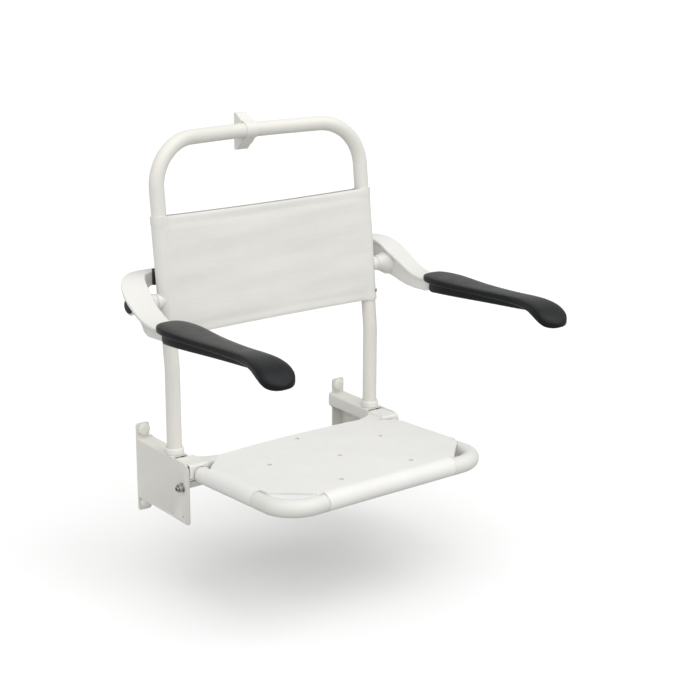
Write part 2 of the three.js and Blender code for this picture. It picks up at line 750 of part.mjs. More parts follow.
function smoothShape(start, ...runs) {
  const shape = new THREE.Shape();
  shape.moveTo(...start);
  runs.forEach((run) => {
    const points = run.map(([a, b]) => new THREE.Vector2(a, b));
    if (points.length === 1) shape.lineTo(points[0].x, points[0].y);
    else shape.splineThru(points);
  });
  return shape;
}

// Seen from above (x, y): a tail behind the back tube, a round turn outwards and forwards, and a
// tongue that runs inside the pad.
function castingPlan() {
  const tailBack = -42;
  const turnRadius = 66;
  const shape = new THREE.Shape();
  shape.moveTo(199, TAIL_FRONT);
  shape.lineTo(199, tailBack);
  shape.lineTo(BAND_OUTSIDE - turnRadius, tailBack);
  shape.absarc(BAND_OUTSIDE - turnRadius, tailBack - turnRadius, turnRadius, Math.PI / 2, 0, true);
  shape.lineTo(BAND_OUTSIDE, -172);
  shape.quadraticCurveTo(BAND_OUTSIDE, -192, ARM_X + 12, -200);
  shape.lineTo(ARM_X + 8, TONGUE_END);
  shape.lineTo(ARM_X - 8, TONGUE_END);
  shape.lineTo(ARM_X - 12, -200);
  shape.quadraticCurveTo(252, -184, 251, -160);
  shape.lineTo(250, -130);
  shape.lineTo(243, -92);
  shape.quadraticCurveTo(238, TAIL_FRONT, 218, TAIL_FRONT);
  return shape;
}

// Seen from the side (y, z).
function castingSide() {
  return smoothShape(
    [-36, 306],
    [[-36, 282]],
    [[TAIL_FRONT, 282]],
    [[-67, 262], [-73, 247], [-86, 240.5], [-110, 235], [-135, 229.5], [-160, 227], [-190, 227]],
    [[-200, 229]],
    [[-202, 240]],
    [[TONGUE_END - 5, 242]],
    [[TONGUE_END - 5, 250]],
    [[-192, 250]],
    [[-172, 253], [-156, 257.5], [-135, 267], [-112, 279.5], [-90, 292.5], [-74, 301], [-58, 305.5]],
  );
}

// What lies under the casting's top band, seen from the side.
function belowBand(back) {
  return smoothShape(
    [back, 215],
    [[-205, 215]],
    [[-205, 244]],
    [[-188, 245]],
    [[-172, 247.5], [-156, 251.5], [-135, 261], [-112, 273.5], [-92, 285.5], [-78, 293]],
    [[-66, 297]],
    [[back, 299]],
  );
}

// The web is thin beside the pivot and widens to the whole arm where the pad begins.
function outerPocket() {
  const recess = polygon([[300, -30], [262, -30], [262, -92], [279, -143], [279, -206], [300, -206]]);
  return alongZ(recess, 215, 301).intersect(alongX(belowBand(-30), 255, 301, 2));
}

// The web runs on behind the pivot until it meets the inside of the turned tail.
function rearWeb(plan) {
  const outline = smoothShape(
    [-88, 288],
    [[-78, 294]],
    [[-66, 298], [-46, 300]],
    [[-46, 284], [-48, 270], [-56, 256], [-70, 246], [-88, 240]],
  );
  return alongX(outline, 243, 262, 2).intersect(plan);
}

function armCasting() {
  const plan = alongZ(castingPlan(), 210, 320, 5);
  const block = plan.intersect(alongX(castingSide(), 190, 300, 2));
  const innerPocket = alongX(belowBand(TAIL_FRONT), 236, 257, 2);
  const boss = turned(
    [[0, BOSS_START], [13, BOSS_START], [15, 238], [19, 247], [22, 254], [19, 261], [13, 265],
      [13, WEB_OUTSIDE], [0, WEB_OUTSIDE]],
    'x', PIVOT, 18,
  );
  const bore = rod(BUSH_RADIUS + GAP, BOSS_START - 2, BOLT_HEAD + 1, 'x', PIVOT, 16);
  const headRoom = rod(9.6, BOLT_HEAD, 300, 'x', PIVOT, 16);
  const screwRoom = rod(2.4, 230, 260, 'z', vec(ARM_X, PAD_SCREW_Y, 0), 10);
  const webbed = cut(block, outerPocket(), innerPocket);
  return cut(join(webbed, rearWeb(plan), boss), bore, headRoom, screwRoom);
}

const armBush = () =>
  ring(ARM_BOLT_RADIUS + GAP, BUSH_RADIUS, BOSS_START + GAP, BOLT_HEAD - GAP, 'x', PIVOT, 16);

function armPivotBolt() {
  const profile = [
    [0, 200.8], [ARM_BOLT_RADIUS, 200.8], [ARM_BOLT_RADIUS, BOLT_HEAD], [8.6, BOLT_HEAD],
    [8.6, BOLT_HEAD + 6], [0, BOLT_HEAD + 6],
  ];
  return turned(profile, 'x', PIVOT, 14);
}

const pivotInsert = () => ring(ARM_BOLT_RADIUS + GAP, 7, 200.9, 214, 'x', PIVOT, 16);

// Saddle between the fabric-covered tube and the arm's boss.
function pivotSpacer() {
  const sleeve = ring(ARM_BOLT_RADIUS + GAP, 12.6, 212, BOSS_START - GAP, 'x', PIVOT, 16);
  const covered = [onBack(BACK_X, FABRIC_FROM), onBack(BACK_X, FABRIC_TO)];
  return cut(sleeve, tube(covered, FABRIC_ROOM));
}

function pivotCap() {
  const profile = [
    [0, WEB_OUTSIDE + GAP], [12, WEB_OUTSIDE + GAP], [12, 278.8], [10.5, 280.2], [6, 281], [0, 281.3],
  ];
  return turned(profile, 'x', PIVOT, 18);
}

function bufferShape() {
  const front = -68.4;
  const back = TAIL_FRONT - GAP;
  return roundedPolygon([[back, 284], [back, 310], [front, 310, 2], [front, 284, 2]]);
}

// Rubber stop on the front of the casting's tail; the tube it rests on is cut out of it.
function stopBuffer() {
  const covered = [onBack(BACK_X, FABRIC_FROM), onBack(BACK_X, FABRIC_TO)];
  return cut(alongX(bufferShape(), 200, 217, 3), tube(covered, FABRIC_ROOM));
}

// ---------------------------------------------------------------- arm pads

const PAD_SCREW_Y = -290;

// Half widths of the pad's top, from its back end to its front end.
const PAD_WIDTHS = [
  [-192, 9], [-198, 20], [-210, 27.8], [-232, 31.6], [-257, 31.2], [-288, 28], [-320, 24.6],
  [-355, 21.8], [-390, 20], [-418, 19.8], [-442, 21.8], [-462, 25.2], [-482, 28.2], [-498, 27.8],
  [-508, 21.5], [-514, 8],
];

// Plan (x, y) of the pad, drawn in by `inset` between two ends.
function padPlan(inset, backEnd, frontEnd) {
  const inside = PAD_WIDTHS.filter(([y]) => y <= backEnd && y >= frontEnd);
  const rightSide = inside.map(([y, half]) => new THREE.Vector2(ARM_X + half - inset, y));
  const leftSide = inside.map(([y, half]) => new THREE.Vector2(ARM_X - half + inset, y)).reverse();
  const shape = new THREE.Shape();
  shape.moveTo(rightSide[0].x, rightSide[0].y);
  shape.splineThru(rightSide.slice(1));
  shape.lineTo(leftSide[0].x, leftSide[0].y);
  shape.splineThru(leftSide.slice(1));
  return shape;
}

function padTopSide() {
  return smoothShape(
    [-190, 249],
    [[-190, 252.5]],
    [[-197, 257.5], [-212, 259.8], [-245, 260.4], [-300, 260.6], [-350, 262], [-400, 264.2], [-430, 265.8]],
    [[-452, 265.6], [-470, 263.4], [-486, 259], [-500, 251.5], [-510, 243]],
    [[-515, 236]],
    [[-513, 232.5]],
    [[-502, 234], [-490, 238.4], [-475, 244.8], [-458, 250]],
    [[-420, 252.5], [-360, 251.5], [-300, 251], [-230, 250]],
  );
}

function padSkirtSide() {
  return smoothShape(
    [-203, 252],
    [[-203, 233]],
    [[-209, 229.5]],
    [[-240, 231.5], [-300, 235], [-360, 239], [-420, 243.5], [-456, 248.5]],
    [[-466, 254]],
    [[-420, 256]],
  );
}

function armPad() {
  const skirtInset = 5.5;
  const capBlock = alongZ(padPlan(0, 0, -600), 220, 275, 1);
  const skirtBlock = alongZ(padPlan(skirtInset, -200, -470), 220, 275, 1);
  const top = capBlock.intersect(alongX(padTopSide(), 230, 310, 1));
  const skirt = skirtBlock.intersect(alongX(padSkirtSide(), 230, 310, 1));
  const tongue = polygon([
    [16, -195], [12.4, -202], [8.4, TONGUE_END - GAP], [-8.4, TONGUE_END - GAP], [-12.4, -202], [-16, -195],
  ].map(([across, y]) => [ARM_X + across, y]));
  const tongueRoom = alongZ(tongue, 238, 250.4);
  const castingRoom = box(240, 300, -204, -180, 220, 251.8);
  const screwHead = rod(6, 200, 239, 'z', vec(ARM_X, PAD_SCREW_Y, 0), 12);
  const screwShank = rod(2.4, 230, 257.3, 'z', vec(ARM_X, PAD_SCREW_Y, 0), 10);
  return cut(join(top, skirt), tongueRoom, castingRoom, screwHead, screwShank);
}

function padScrew() {
  const profile = [[0, 236.4], [4.8, 236.9], [4.8, 239.9], [2.1, 239.9], [2.1, 257], [0, 257]];
  return turned(profile, 'z', vec(ARM_X, PAD_SCREW_Y, 0), 12);
}

// ---------------------------------------------------------------- assembly

const chair = new THREE.Group();

function piece(parent, name, solid, look) {
  const mesh = new THREE.Mesh(geometryOf(solid), new THREE.MeshStandardMaterial(LOOKS[look]));
  mesh.name = name;
  parent.add(mesh);
}

// The seat hangs on its hinge pins and slopes up a little towards its front.
function seatGroup() {
  const group = new THREE.Group();
  group.position.set(0, PIN_Y, PIN_Z);
  group.rotation.x = -SEAT_TILT;
  return group;
}

const seat = seatGroup();
chair.add(seat);

piece(chair, 'back_frame_tube', backFrameTube(), 'powderCoat');
piece(chair, 'back_fabric_sleeve', fabricBack(), 'fabric');
piece(chair, 'top_support_base', topSupportBase(), 'whitePlastic');
piece(chair, 'top_support_clamp', topSupportClamp(), 'whitePlastic');
piece(chair, 'top_support_screw', topSupportScrew(), 'stainless');
piece(chair, 'top_support_clamp_screw', topSupportClampScrew(), 'stainless');
piece(seat, 'seat_frame_tube', seatFrameTube(), 'powderCoat');
piece(seat, 'seat_panel', seatPanel(), 'seatPlastic');
piece(seat, 'seat_cross_bar', crossBar(), 'powderCoat');

for (const side of ['right', 'left']) {
  const fixed = new THREE.Group();
  const moving = seatGroup();
  if (side === 'left') {
    fixed.scale.x = -1;
    moving.scale.x = -1;
  }
  chair.add(fixed, moving);

  piece(fixed, `${side}_wall_bracket`, wallBracket(), 'powderCoat');
  for (const [level, z] of Object.entries(WALL_SCREW_HEIGHTS)) {
    piece(fixed, `${side}_${level}_wall_screw`, wallScrew(z), 'stainless');
    piece(fixed, `${side}_${level}_wall_screw_cap`, wallScrewCap(z), 'whitePlastic');
  }
  piece(fixed, `${side}_tube_collar`, tubeCollar(), 'whitePlastic');
  piece(fixed, `${side}_tube_foot_screw`, tubeFootScrew(), 'stainless');
  piece(fixed, `${side}_fabric_screw`, fabricScrew(), 'rubber');
  piece(fixed, `${side}_hinge_pin`, hingePin(), 'stainless');
  piece(fixed, `${side}_stop_bolt`, stopBolt(), 'stainless');
  piece(fixed, `${side}_stop_bolt_washer`, stopBoltWasher(), 'stainless');
  piece(fixed, `${side}_stop_bolt_nut`, stopBoltNut(), 'stainless');

  piece(moving, `${side}_hinge_cover`, hingeCover(), 'whitePlastic');
  piece(moving, `${side}_hinge_bush`, hingeBush(), 'bearing');
  piece(moving, `${side}_corner_sleeve`, cornerSleeve(), 'seatPlastic');
  piece(moving, `${side}_panel_screw`, panelScrew(), 'stainless');

  piece(fixed, `${side}_arm_casting`, armCasting(), 'casting');
  piece(fixed, `${side}_arm_bush`, armBush(), 'bearing');
  piece(fixed, `${side}_arm_pivot_bolt`, armPivotBolt(), 'stainless');
  piece(fixed, `${side}_arm_pivot_insert`, pivotInsert(), 'stainless');
  piece(fixed, `${side}_arm_pivot_spacer`, pivotSpacer(), 'whitePlastic');
  piece(fixed, `${side}_arm_pivot_cap`, pivotCap(), 'rubber');
  piece(fixed, `${side}_arm_stop_buffer`, stopBuffer(), 'rubber');
  piece(fixed, `${side}_arm_pad`, armPad(), 'padFoam');
  piece(fixed, `${side}_arm_pad_screw`, padScrew(), 'stainless');
}

export default chair;
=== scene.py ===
"""A wall-hung folding shower chair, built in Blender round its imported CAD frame.

Lengths inside this script are millimetres, in the frame of the CAD model: +Z up, the wall is Y = 0,
the chair's middle is X = 0 and the sitter looks along -Y. Meshes are scaled to metres when made.
Right (+X) and left are as seen by someone who faces the chair.
"""

import json
import math

import bmesh
import bpy
import numpy as np
from mathutils import Matrix, Vector

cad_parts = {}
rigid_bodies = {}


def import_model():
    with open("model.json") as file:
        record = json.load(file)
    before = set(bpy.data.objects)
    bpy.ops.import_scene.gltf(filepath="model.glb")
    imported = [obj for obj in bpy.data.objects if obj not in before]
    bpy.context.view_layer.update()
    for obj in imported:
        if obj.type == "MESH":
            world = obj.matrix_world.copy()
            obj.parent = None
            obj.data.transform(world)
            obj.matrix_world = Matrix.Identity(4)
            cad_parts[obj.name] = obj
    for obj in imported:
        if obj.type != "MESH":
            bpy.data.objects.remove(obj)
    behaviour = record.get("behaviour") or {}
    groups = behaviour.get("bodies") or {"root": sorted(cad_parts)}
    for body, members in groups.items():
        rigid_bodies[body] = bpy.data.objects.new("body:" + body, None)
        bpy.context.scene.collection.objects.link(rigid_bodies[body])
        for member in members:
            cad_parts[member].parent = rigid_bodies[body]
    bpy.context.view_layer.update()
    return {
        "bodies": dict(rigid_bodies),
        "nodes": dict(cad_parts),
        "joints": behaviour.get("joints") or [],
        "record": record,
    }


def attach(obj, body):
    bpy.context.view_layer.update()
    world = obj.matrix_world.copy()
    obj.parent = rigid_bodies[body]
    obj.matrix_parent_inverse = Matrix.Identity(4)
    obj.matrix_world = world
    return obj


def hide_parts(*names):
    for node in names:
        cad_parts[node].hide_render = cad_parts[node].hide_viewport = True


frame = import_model()

MM = 0.001
GAP = 0.3  # clearance between pieces that touch

TUBE_RADIUS = 12.5
TUBE_BORE = 10.5
ROUND = 48  # sides of a tube

# wall brackets
SHEET = 2.5
PLATE_X = 223
PLATE_INSIDE = PLATE_X - SHEET
FLANGE_X = 191  # outer face of the inner flange
PLATE_DEPTH = 168.4
PLATE_HEIGHT = 107
FLANGE_HEIGHT = 22.7
TOP_DEPTH = 117  # how far the box part of the arm reaches from the wall
TAB_X = 198  # inner edge of the two tabs
TAB_TOP = 26
TAB_BOTTOM = -133
TAB_THICKNESS = 3
WALL_SCREW_X = 209.5
WALL_SCREW_HEIGHTS = {"upper": 15, "lower": -119.5}
FOOT_SHELF = 3  # thickness of the shelf that the back tube stands on
PLATE_HOLES = ((-149, -97), (-116, -101))  # (y, z) of the two small holes in the outer plate

# back frame and fabric
BACK_X = 207.5
BACK_Y = -101.7
BACK_FOOT = -61.7
BEND_HEIGHT = 149
RECLINE = math.radians(6.44)
BACK_LENGTH = 371.3  # along the reclined part, from its bend to the top bar
BACK_CORNER = 78
TOP_BAR_BOW = 32  # how far the middle of the top bar curves back towards the wall
FABRIC_RADIUS = 13.7  # middle of the cloth where it wraps a tube
FABRIC_FROM = 51
FABRIC_TO = 251
CLOTH_THICKNESS = 1.3
HEM = 0.065  # share of the fabric's height that is folded over at each edge
HEM_THICKENING = 1.9

# seat, from its hinge pin
PIN_Y = -150
PIN_Z = -20
SEAT_TILT = math.radians(2.94)
SEAT_X = 200
SEAT_FRONT = -268
SEAT_CORNER = 50
ROLL_RADIUS = 14.3
PANEL_TOP = 17.6
PANEL_THICKNESS = 4
PANEL_UNDERSIDE = PANEL_TOP - PANEL_THICKNESS
REAR_CUT_START = 150  # where the panel's cut rear corners begin, along its rear edge
CORNER_LINE = 404  # where |x| + |y| reaches this, the front corners are cut away
RIBS_ACROSS = ((-70, 180), (-168, 180), (-215, 150))  # (y, half length)
RIBS_ALONG = ((-150, -215), (-40, -246), (40, -246), (150, -215))  # (x, front end)
RIB_HALF = 1.5
RIB_BOTTOM = 4
ROLL_BACK = -52  # rear end of the side rolls and of the lengthwise ribs
SLEEVE_SIDE_END = -187
SLEEVE_FRONT_END = 128
DRAIN_RADIUS = 4.5
DRAIN_CIRCLE = 122
DRAIN_CENTRE = -137
CROSS_BAR_Y = -36
PANEL_SCREW_X = 100
KNUCKLE_RADIUS = 12.9
KNUCKLE_SPAN = (190.5, 219.5)
BUSH_HOLE = 8.3
COVER_INSIDE = 184.7
COVER_OUTSIDE = 219.8
COVER_TOP = 19.3
STOP_BOLT_Z = -43.4
STOP_LUG = 5  # thickness of the hinge cover's lug, front to back

# arm supports
ARM_PIVOT_Y = -88.8
ARM_PIVOT_Z = 262
ARM_X = 270.5  # middle of the arm pad
TAIL_FRONT = -62  # front face of the casting's tail, behind the back tube
TAIL_BACK = -42
TAIL_TURN = 66  # radius of the band's turn from the tail to the arm
TONGUE_END = -330  # how far the casting's tongue reaches into the pad
BAND_OUTSIDE = 291  # outer edge of the casting's top band
BOSS_START = 228
BOSS_END = 276.6

# top wall support
SUPPORT_HALF = 11.5
SUPPORT_BORE = 13.2

SEAT_PLACE = Matrix.Translation((0, PIN_Y, PIN_Z)) @ Matrix.Rotation(-SEAT_TILT, 4, "X")


# ------------------------------------------------------------------ meshes


def new_object(name, points, faces):
    """A mesh object from points in millimetres, with its faces turned outwards."""
    mesh = bpy.data.meshes.new(name)
    mesh.from_pydata([tuple(c * MM for c in p) for p in points], [], faces)
    obj = bpy.data.objects.new(name, mesh)
    bpy.context.scene.collection.objects.link(obj)
    bm = bmesh.new()
    bm.from_mesh(mesh)
    bmesh.ops.remove_doubles(bm, verts=bm.verts, dist=1e-6)
    bmesh.ops.recalc_face_normals(bm, faces=bm.faces)
    bm.to_mesh(mesh)
    bm.free()
    return obj


def skin(rings, loop=False, capped=True):
    """Points and faces of a surface through rings that have the same number of points."""
    count = len(rings[0])
    points = [p for ring in rings for p in ring]
    faces = []
    rows = len(rings) if loop else len(rings) - 1
    for i in range(rows):
        a, b = i * count, ((i + 1) % len(rings)) * count
        for j in range(count):
            k = (j + 1) % count
            faces.append((a + j, a + k, b + k, b + j))
    if capped and not loop:
        faces.append(tuple(range(count)))
        faces.append(tuple(range(len(points) - count, len(points))))
    return points, faces


def apply_modifiers(obj):
    depsgraph = bpy.context.evaluated_depsgraph_get()
    mesh = bpy.data.meshes.new_from_object(obj.evaluated_get(depsgraph))
    obj.modifiers.clear()
    obj.data = mesh


def combine(obj, others, operation):
    for other in others:
        step = obj.modifiers.new("combine", "BOOLEAN")
        step.operation = operation
        step.solver = "EXACT"
        step.object = other
        apply_modifiers(obj)
        bpy.data.objects.remove(other)
    return obj


def cut(obj, *others):
    return combine(obj, others, "DIFFERENCE")


def unite(obj, *others):
    return combine(obj, others, "UNION")


def common(obj, *others):
    return combine(obj, others, "INTERSECT")


def soften(obj, width, segments=3, angle=32):
    """Rounds the sharp edges."""
    bm = bmesh.new()
    bm.from_mesh(obj.data)
    bmesh.ops.remove_doubles(bm, verts=bm.verts, dist=2e-6)
    bmesh.ops.dissolve_limit(
        bm, angle_limit=math.radians(0.4), verts=bm.verts, edges=bm.edges
    )
    bm.to_mesh(obj.data)
    bm.free()
    step = obj.modifiers.new("edges", "BEVEL")
    step.width = width * MM
    step.segments = segments
    step.limit_method = "ANGLE"
    step.angle_limit = math.radians(angle)
    step.miter_outer = "MITER_ARC"
    apply_modifiers(obj)
    return obj


def melt(obj, voxel, rounds):
    """Turns the object into one even skin and lets its edges run, as those of a casting do."""
    step = obj.modifiers.new("remesh", "REMESH")
    step.mode = "VOXEL"
    step.voxel_size = voxel * MM
    apply_modifiers(obj)
    step = obj.modifiers.new("smooth", "SMOOTH")
    step.factor = 0.5
    step.iterations = rounds
    apply_modifiers(obj)
    return obj


def shade(obj, angle=35):
    obj.data.shade_smooth()
    if angle is not None:
        obj.data.set_sharp_from_angle(angle=math.radians(angle))
        step = obj.modifiers.new("normals", "WEIGHTED_NORMAL")
        step.keep_sharp = True
        apply_modifiers(obj)
    return obj


def placed(obj, matrix):
    """Moves the mesh itself by a matrix in millimetres."""
    scaled = matrix.copy()
    scaled.translation = matrix.translation * MM
    obj.data.transform(scaled)
    return obj


def mirror_copy(obj, name):
    mesh = obj.data.copy()
    mesh.transform(Matrix.Scale(-1, 4, (1, 0, 0)))
    mesh.flip_normals()
    copy = bpy.data.objects.new(name, mesh)
    bpy.context.scene.collection.objects.link(copy)
    return copy


# ------------------------------------------------------------------ outlines


def rounded(points, closed=True, steps=6):
    """A line whose corners are arcs: each point is (a, b) or (a, b, radius)."""
    line = []
    count = len(points)
    for i, point in enumerate(points):
        here = Vector(point[:2])
        radius = point[2] if len(point) > 2 else 0
        if radius == 0 or (not closed and i in (0, count - 1)):
            line.append(tuple(here))
            continue
        back = (Vector(points[i - 1][:2]) - here).normalized()
        ahead = (Vector(points[(i + 1) % count][:2]) - here).normalized()
        half = back.angle(ahead) / 2
        reach = radius / math.tan(half)
        centre = here + (back + ahead).normalized() * (radius / math.sin(half))
        start = here + back * reach - centre
        sweep = math.pi - 2 * half
        if start.x * (ahead.y - back.y) - start.y * (ahead.x - back.x) < 0:
            sweep = -sweep
        for k in range(steps + 1):
            a = sweep * k / steps
            x = start.x * math.cos(a) - start.y * math.sin(a)
            y = start.x * math.sin(a) + start.y * math.cos(a)
            line.append((centre.x + x, centre.y + y))
    return line


def spline(points, per_span=6):
    """A smooth line through points of any dimension."""
    known = [np.array(p, float) for p in points]
    known = [2 * known[0] - known[1], *known, 2 * known[-1] - known[-2]]
    line = []
    for i in range(1, len(known) - 2):
        before, a, b, after = known[i - 1 : i + 3]
        for k in range(per_span):
            t = k / per_span
            line.append(
                0.5
                * (
                    2 * a
                    + (b - before) * t
                    + (2 * before - 5 * a + 4 * b - after) * t**2
                    + (3 * a - before - 3 * b + after) * t**3
                )
            )
    line.append(known[-2])
    return [tuple(p) for p in line]


def bezier(start, control, end, count=9):
    """A line of points along a curve with one control point."""
    a, b, c = (np.array(p, float) for p in (start, control, end))
    return [tuple((1 - t) ** 2 * a + 2 * t * (1 - t) * b + t**2 * c)
            for t in np.linspace(0, 1, count)]


AXES = {
    "x": lambda a, b, c: (c, a, b),  # outline in (y, z)
    "y": lambda a, b, c: (a, c, b),  # outline in (x, z)
    "z": lambda a, b, c: (a, b, c),  # outline in (x, y)
}


def prism(outline, axis, start, end):
    """An outline drawn across an axis, from start to end along it."""
    place = AXES[axis]
    rings = [[place(a, b, c) for a, b in outline] for c in (start, end)]
    return new_object("prism", *skin(rings))


def block(x0, x1, y0, y1, z0, z1):
    return prism([(x0, y0), (x1, y0), (x1, y1), (x0, y1)], "z", z0, z1)


def circle(radius, sides=ROUND):
    turns = [2 * math.pi * i / sides for i in range(sides)]
    return [(radius * math.cos(t), radius * math.sin(t)) for t in turns]


def lathe(profile, axis, centre, sides=ROUND, loop=False):
    """A (radius, distance) line turned round an axis; the axis is x, y, z or a direction."""
    direction = {"x": (1, 0, 0), "y": (0, 1, 0), "z": (0, 0, 1)}.get(axis, axis)
    along = Vector(direction).normalized()
    across = along.orthogonal().normalized()
    other = along.cross(across)
    middle = Vector(centre)
    rings = []
    for radius, distance in profile:
        ring = circle(max(radius, 1e-5), sides)
        rings.append(
            [tuple(middle + along * distance + across * u + other * v) for u, v in ring]
        )
    return new_object("lathe", *skin(rings, loop))


def rod(radius, start, end, axis, centre, sides=ROUND):
    return lathe([(radius, start), (radius, end)], axis, centre, sides)


def follow(stations):
    """At each station: its place and two directions across, turned as little as possible."""
    places = [Vector(p) for p in stations]
    frames = []
    across = None
    for i, here in enumerate(places):
        before = places[max(i - 1, 0)]
        after = places[min(i + 1, len(places) - 1)]
        along = (after - before).normalized()
        if across is None:
            across = along.orthogonal().normalized()
        across = (across - along * across.dot(along)).normalized()
        frames.append((here, across, along.cross(across)))
    return frames


def round_rings(stations, radius):
    return [
        [tuple(here + u * a + v * b) for a, b in circle(radius)]
        for here, u, v in follow(stations)
    ]


def pipe(name, stations, outer, bore, lip=0.0):
    """A hollow tube; `lip` rounds the outside of its two ends."""
    frames = follow(stations)
    first, last = Vector(stations[0]), Vector(stations[-1])
    start_way = (first - Vector(stations[1])).normalized()
    end_way = (last - Vector(stations[-2])).normalized()

    def ring(frame, radius, shift):
        here, u, v = frame
        return [tuple(here + shift + u * a + v * b) for a, b in circle(radius)]

    still = Vector((0, 0, 0))
    outside = [ring(f, outer, still) for f in frames[1:-1]]
    steps = 4 if lip > 0 else 0
    starts, ends = [], []
    for k in range(steps + 1):
        turn = math.pi / 2 * k / max(steps, 1)
        drop, back = lip * (1 - math.cos(turn)), lip * (1 - math.sin(turn))
        radius = outer - lip + lip * math.sin(math.pi / 2 - turn) if lip else outer
        starts.append(ring(frames[0], radius, -start_way * back if lip else still))
        ends.append(ring(frames[-1], radius, -end_way * back if lip else still))
    inside = [ring(f, bore, still) for f in frames]
    rings = starts[::-1] + outside + ends + inside[::-1]
    return new_object(name, *skin(rings, loop=True))


# ------------------------------------------------------------------ places on the frame


def on_back(x, along, behind=0.0):
    y = BACK_Y + along * math.sin(RECLINE) + behind * math.cos(RECLINE)
    z = BEND_HEIGHT + along * math.cos(RECLINE) - behind * math.sin(RECLINE)
    return (x, y, z)


def bow(x):
    return TOP_BAR_BOW * (0.5 + 0.5 * math.cos(math.pi * x / BACK_X))


BAR_MIDDLE = on_back(0, BACK_LENGTH, TOP_BAR_BOW)
CLAMP_SCREW = (0, BAR_MIDDLE[1] + 6.3, BAR_MIDDLE[2] - 21)
PIVOT = (0, ARM_PIVOT_Y, ARM_PIVOT_Z)


def back_line():
    """The middle line of the back tube."""
    bend = 9.0
    low = (BACK_X, BACK_Y, BEND_HEIGHT - bend)
    corner = (BACK_X, BACK_Y, BEND_HEIGHT)
    high = on_back(BACK_X, bend)
    half = [(BACK_X, BACK_Y, BACK_FOOT), (BACK_X, BACK_Y, BACK_FOOT + 6)]
    half += bezier(low, corner, high)
    for angle in np.linspace(0, math.pi / 2, 25):
        x = BACK_X - BACK_CORNER + BACK_CORNER * math.cos(angle)
        along = BACK_LENGTH - BACK_CORNER + BACK_CORNER * math.sin(angle)
        half.append(on_back(x, along, bow(x)))
    bar_end = BACK_X - BACK_CORNER
    for t in np.linspace(0, 1, 17)[1:]:
        x = bar_end * (1 - t)
        half.append(on_back(x, BACK_LENGTH, bow(x)))
    return half + [(-x, y, z) for x, y, z in half[-2::-1]]


def seat_corner_line(start, end, side=1):
    """The middle line of the seat tube round one front corner, from the pin's level."""
    line = [(SEAT_X, start, 0)]
    for angle in np.linspace(0, math.pi / 2, 19):
        x = SEAT_X - SEAT_CORNER + SEAT_CORNER * math.cos(angle)
        y = SEAT_FRONT + SEAT_CORNER - SEAT_CORNER * math.sin(angle)
        line.append((x, y, 0))
    if end is not None:
        line.append((end, SEAT_FRONT, 0))
    return [(side * x, y, z) for x, y, z in line]


# ------------------------------------------------------------------ materials


def node(tree, kind, **values):
    """A shader node; a name that starts with _ sets its property, any other its input."""
    made = tree.nodes.new(kind)
    for name, value in values.items():
        if name.startswith("_"):
            setattr(made, name[1:], value)
        else:
            made.inputs[name.replace("_", " ")].default_value = value
    return made


def noise(tree, where, scale, detail):
    made = node(tree, "ShaderNodeTexNoise", Scale=scale, Detail=detail, Roughness=0.55)
    tree.links.new(where, made.inputs["Vector"])
    return made.outputs["Fac"]


def spread(tree, value, low, high, from_low=0.3, from_high=0.7):
    """Maps a value to low..high; a noise's own values lie mostly between 0.3 and 0.7."""
    made = node(tree, "ShaderNodeMapRange")
    tree.links.new(value, made.inputs["Value"])
    made.inputs["From Min"].default_value = from_low
    made.inputs["From Max"].default_value = from_high
    made.inputs["To Min"].default_value = low
    made.inputs["To Max"].default_value = high
    return made.outputs["Result"]


def patches(tree, shader, where, size, detail, light, dark):
    """Colours the surface with soft patches of a lighter and a darker tone."""
    tone = spread(tree, noise(tree, where, size, detail), 0.0, 1.0)
    made = tree.nodes.new("ShaderNodeMix")
    made.data_type = "RGBA"
    tree.links.new(tone, made.inputs[0])
    made.inputs[6].default_value = (*light, 1)
    made.inputs[7].default_value = (*dark, 1)
    tree.links.new(made.outputs[2], shader.inputs["Base Color"])


def uneven_gloss(tree, shader, where, size, detail, low, high):
    gloss = spread(tree, noise(tree, where, size, detail), low, high)
    tree.links.new(gloss, shader.inputs["Roughness"])


def bump(tree, shader, height, distance, under=None):
    """Adds a height to the shader's normal, on top of the bump that is given as `under`."""
    made = node(tree, "ShaderNodeBump", Strength=1.0, Distance=distance)
    tree.links.new(height, made.inputs["Height"])
    if under is not None:
        tree.links.new(under, made.inputs["Normal"])
    tree.links.new(made.outputs["Normal"], shader.inputs["Normal"])
    return made.outputs["Normal"]


def start_material(name):
    made = bpy.data.materials.new(name)
    made.use_nodes = True
    tree = made.node_tree
    shader = tree.nodes["Principled BSDF"]
    where = tree.nodes.new("ShaderNodeTexCoord").outputs["Object"]
    return made, tree, shader, where


def coated(name, light, dark, roughness, peel, peel_size, coat=0.0, patch=14.0):
    """Paint or moulded plastic: patches of tone, uneven gloss and a fine skin texture.
    `peel` is the depth of that texture and `peel_size` its grain, both in millimetres."""
    made, tree, shader, where = start_material(name)
    patches(tree, shader, where, patch, 4.0, light, dark)
    uneven_gloss(tree, shader, where, patch * 4, 5.0, *roughness)
    shader.inputs["Coat Weight"].default_value = coat
    shader.inputs["Coat Roughness"].default_value = 0.12
    bump(tree, shader, noise(tree, where, 1 / (peel_size * MM), 2.0), peel * MM)
    return made


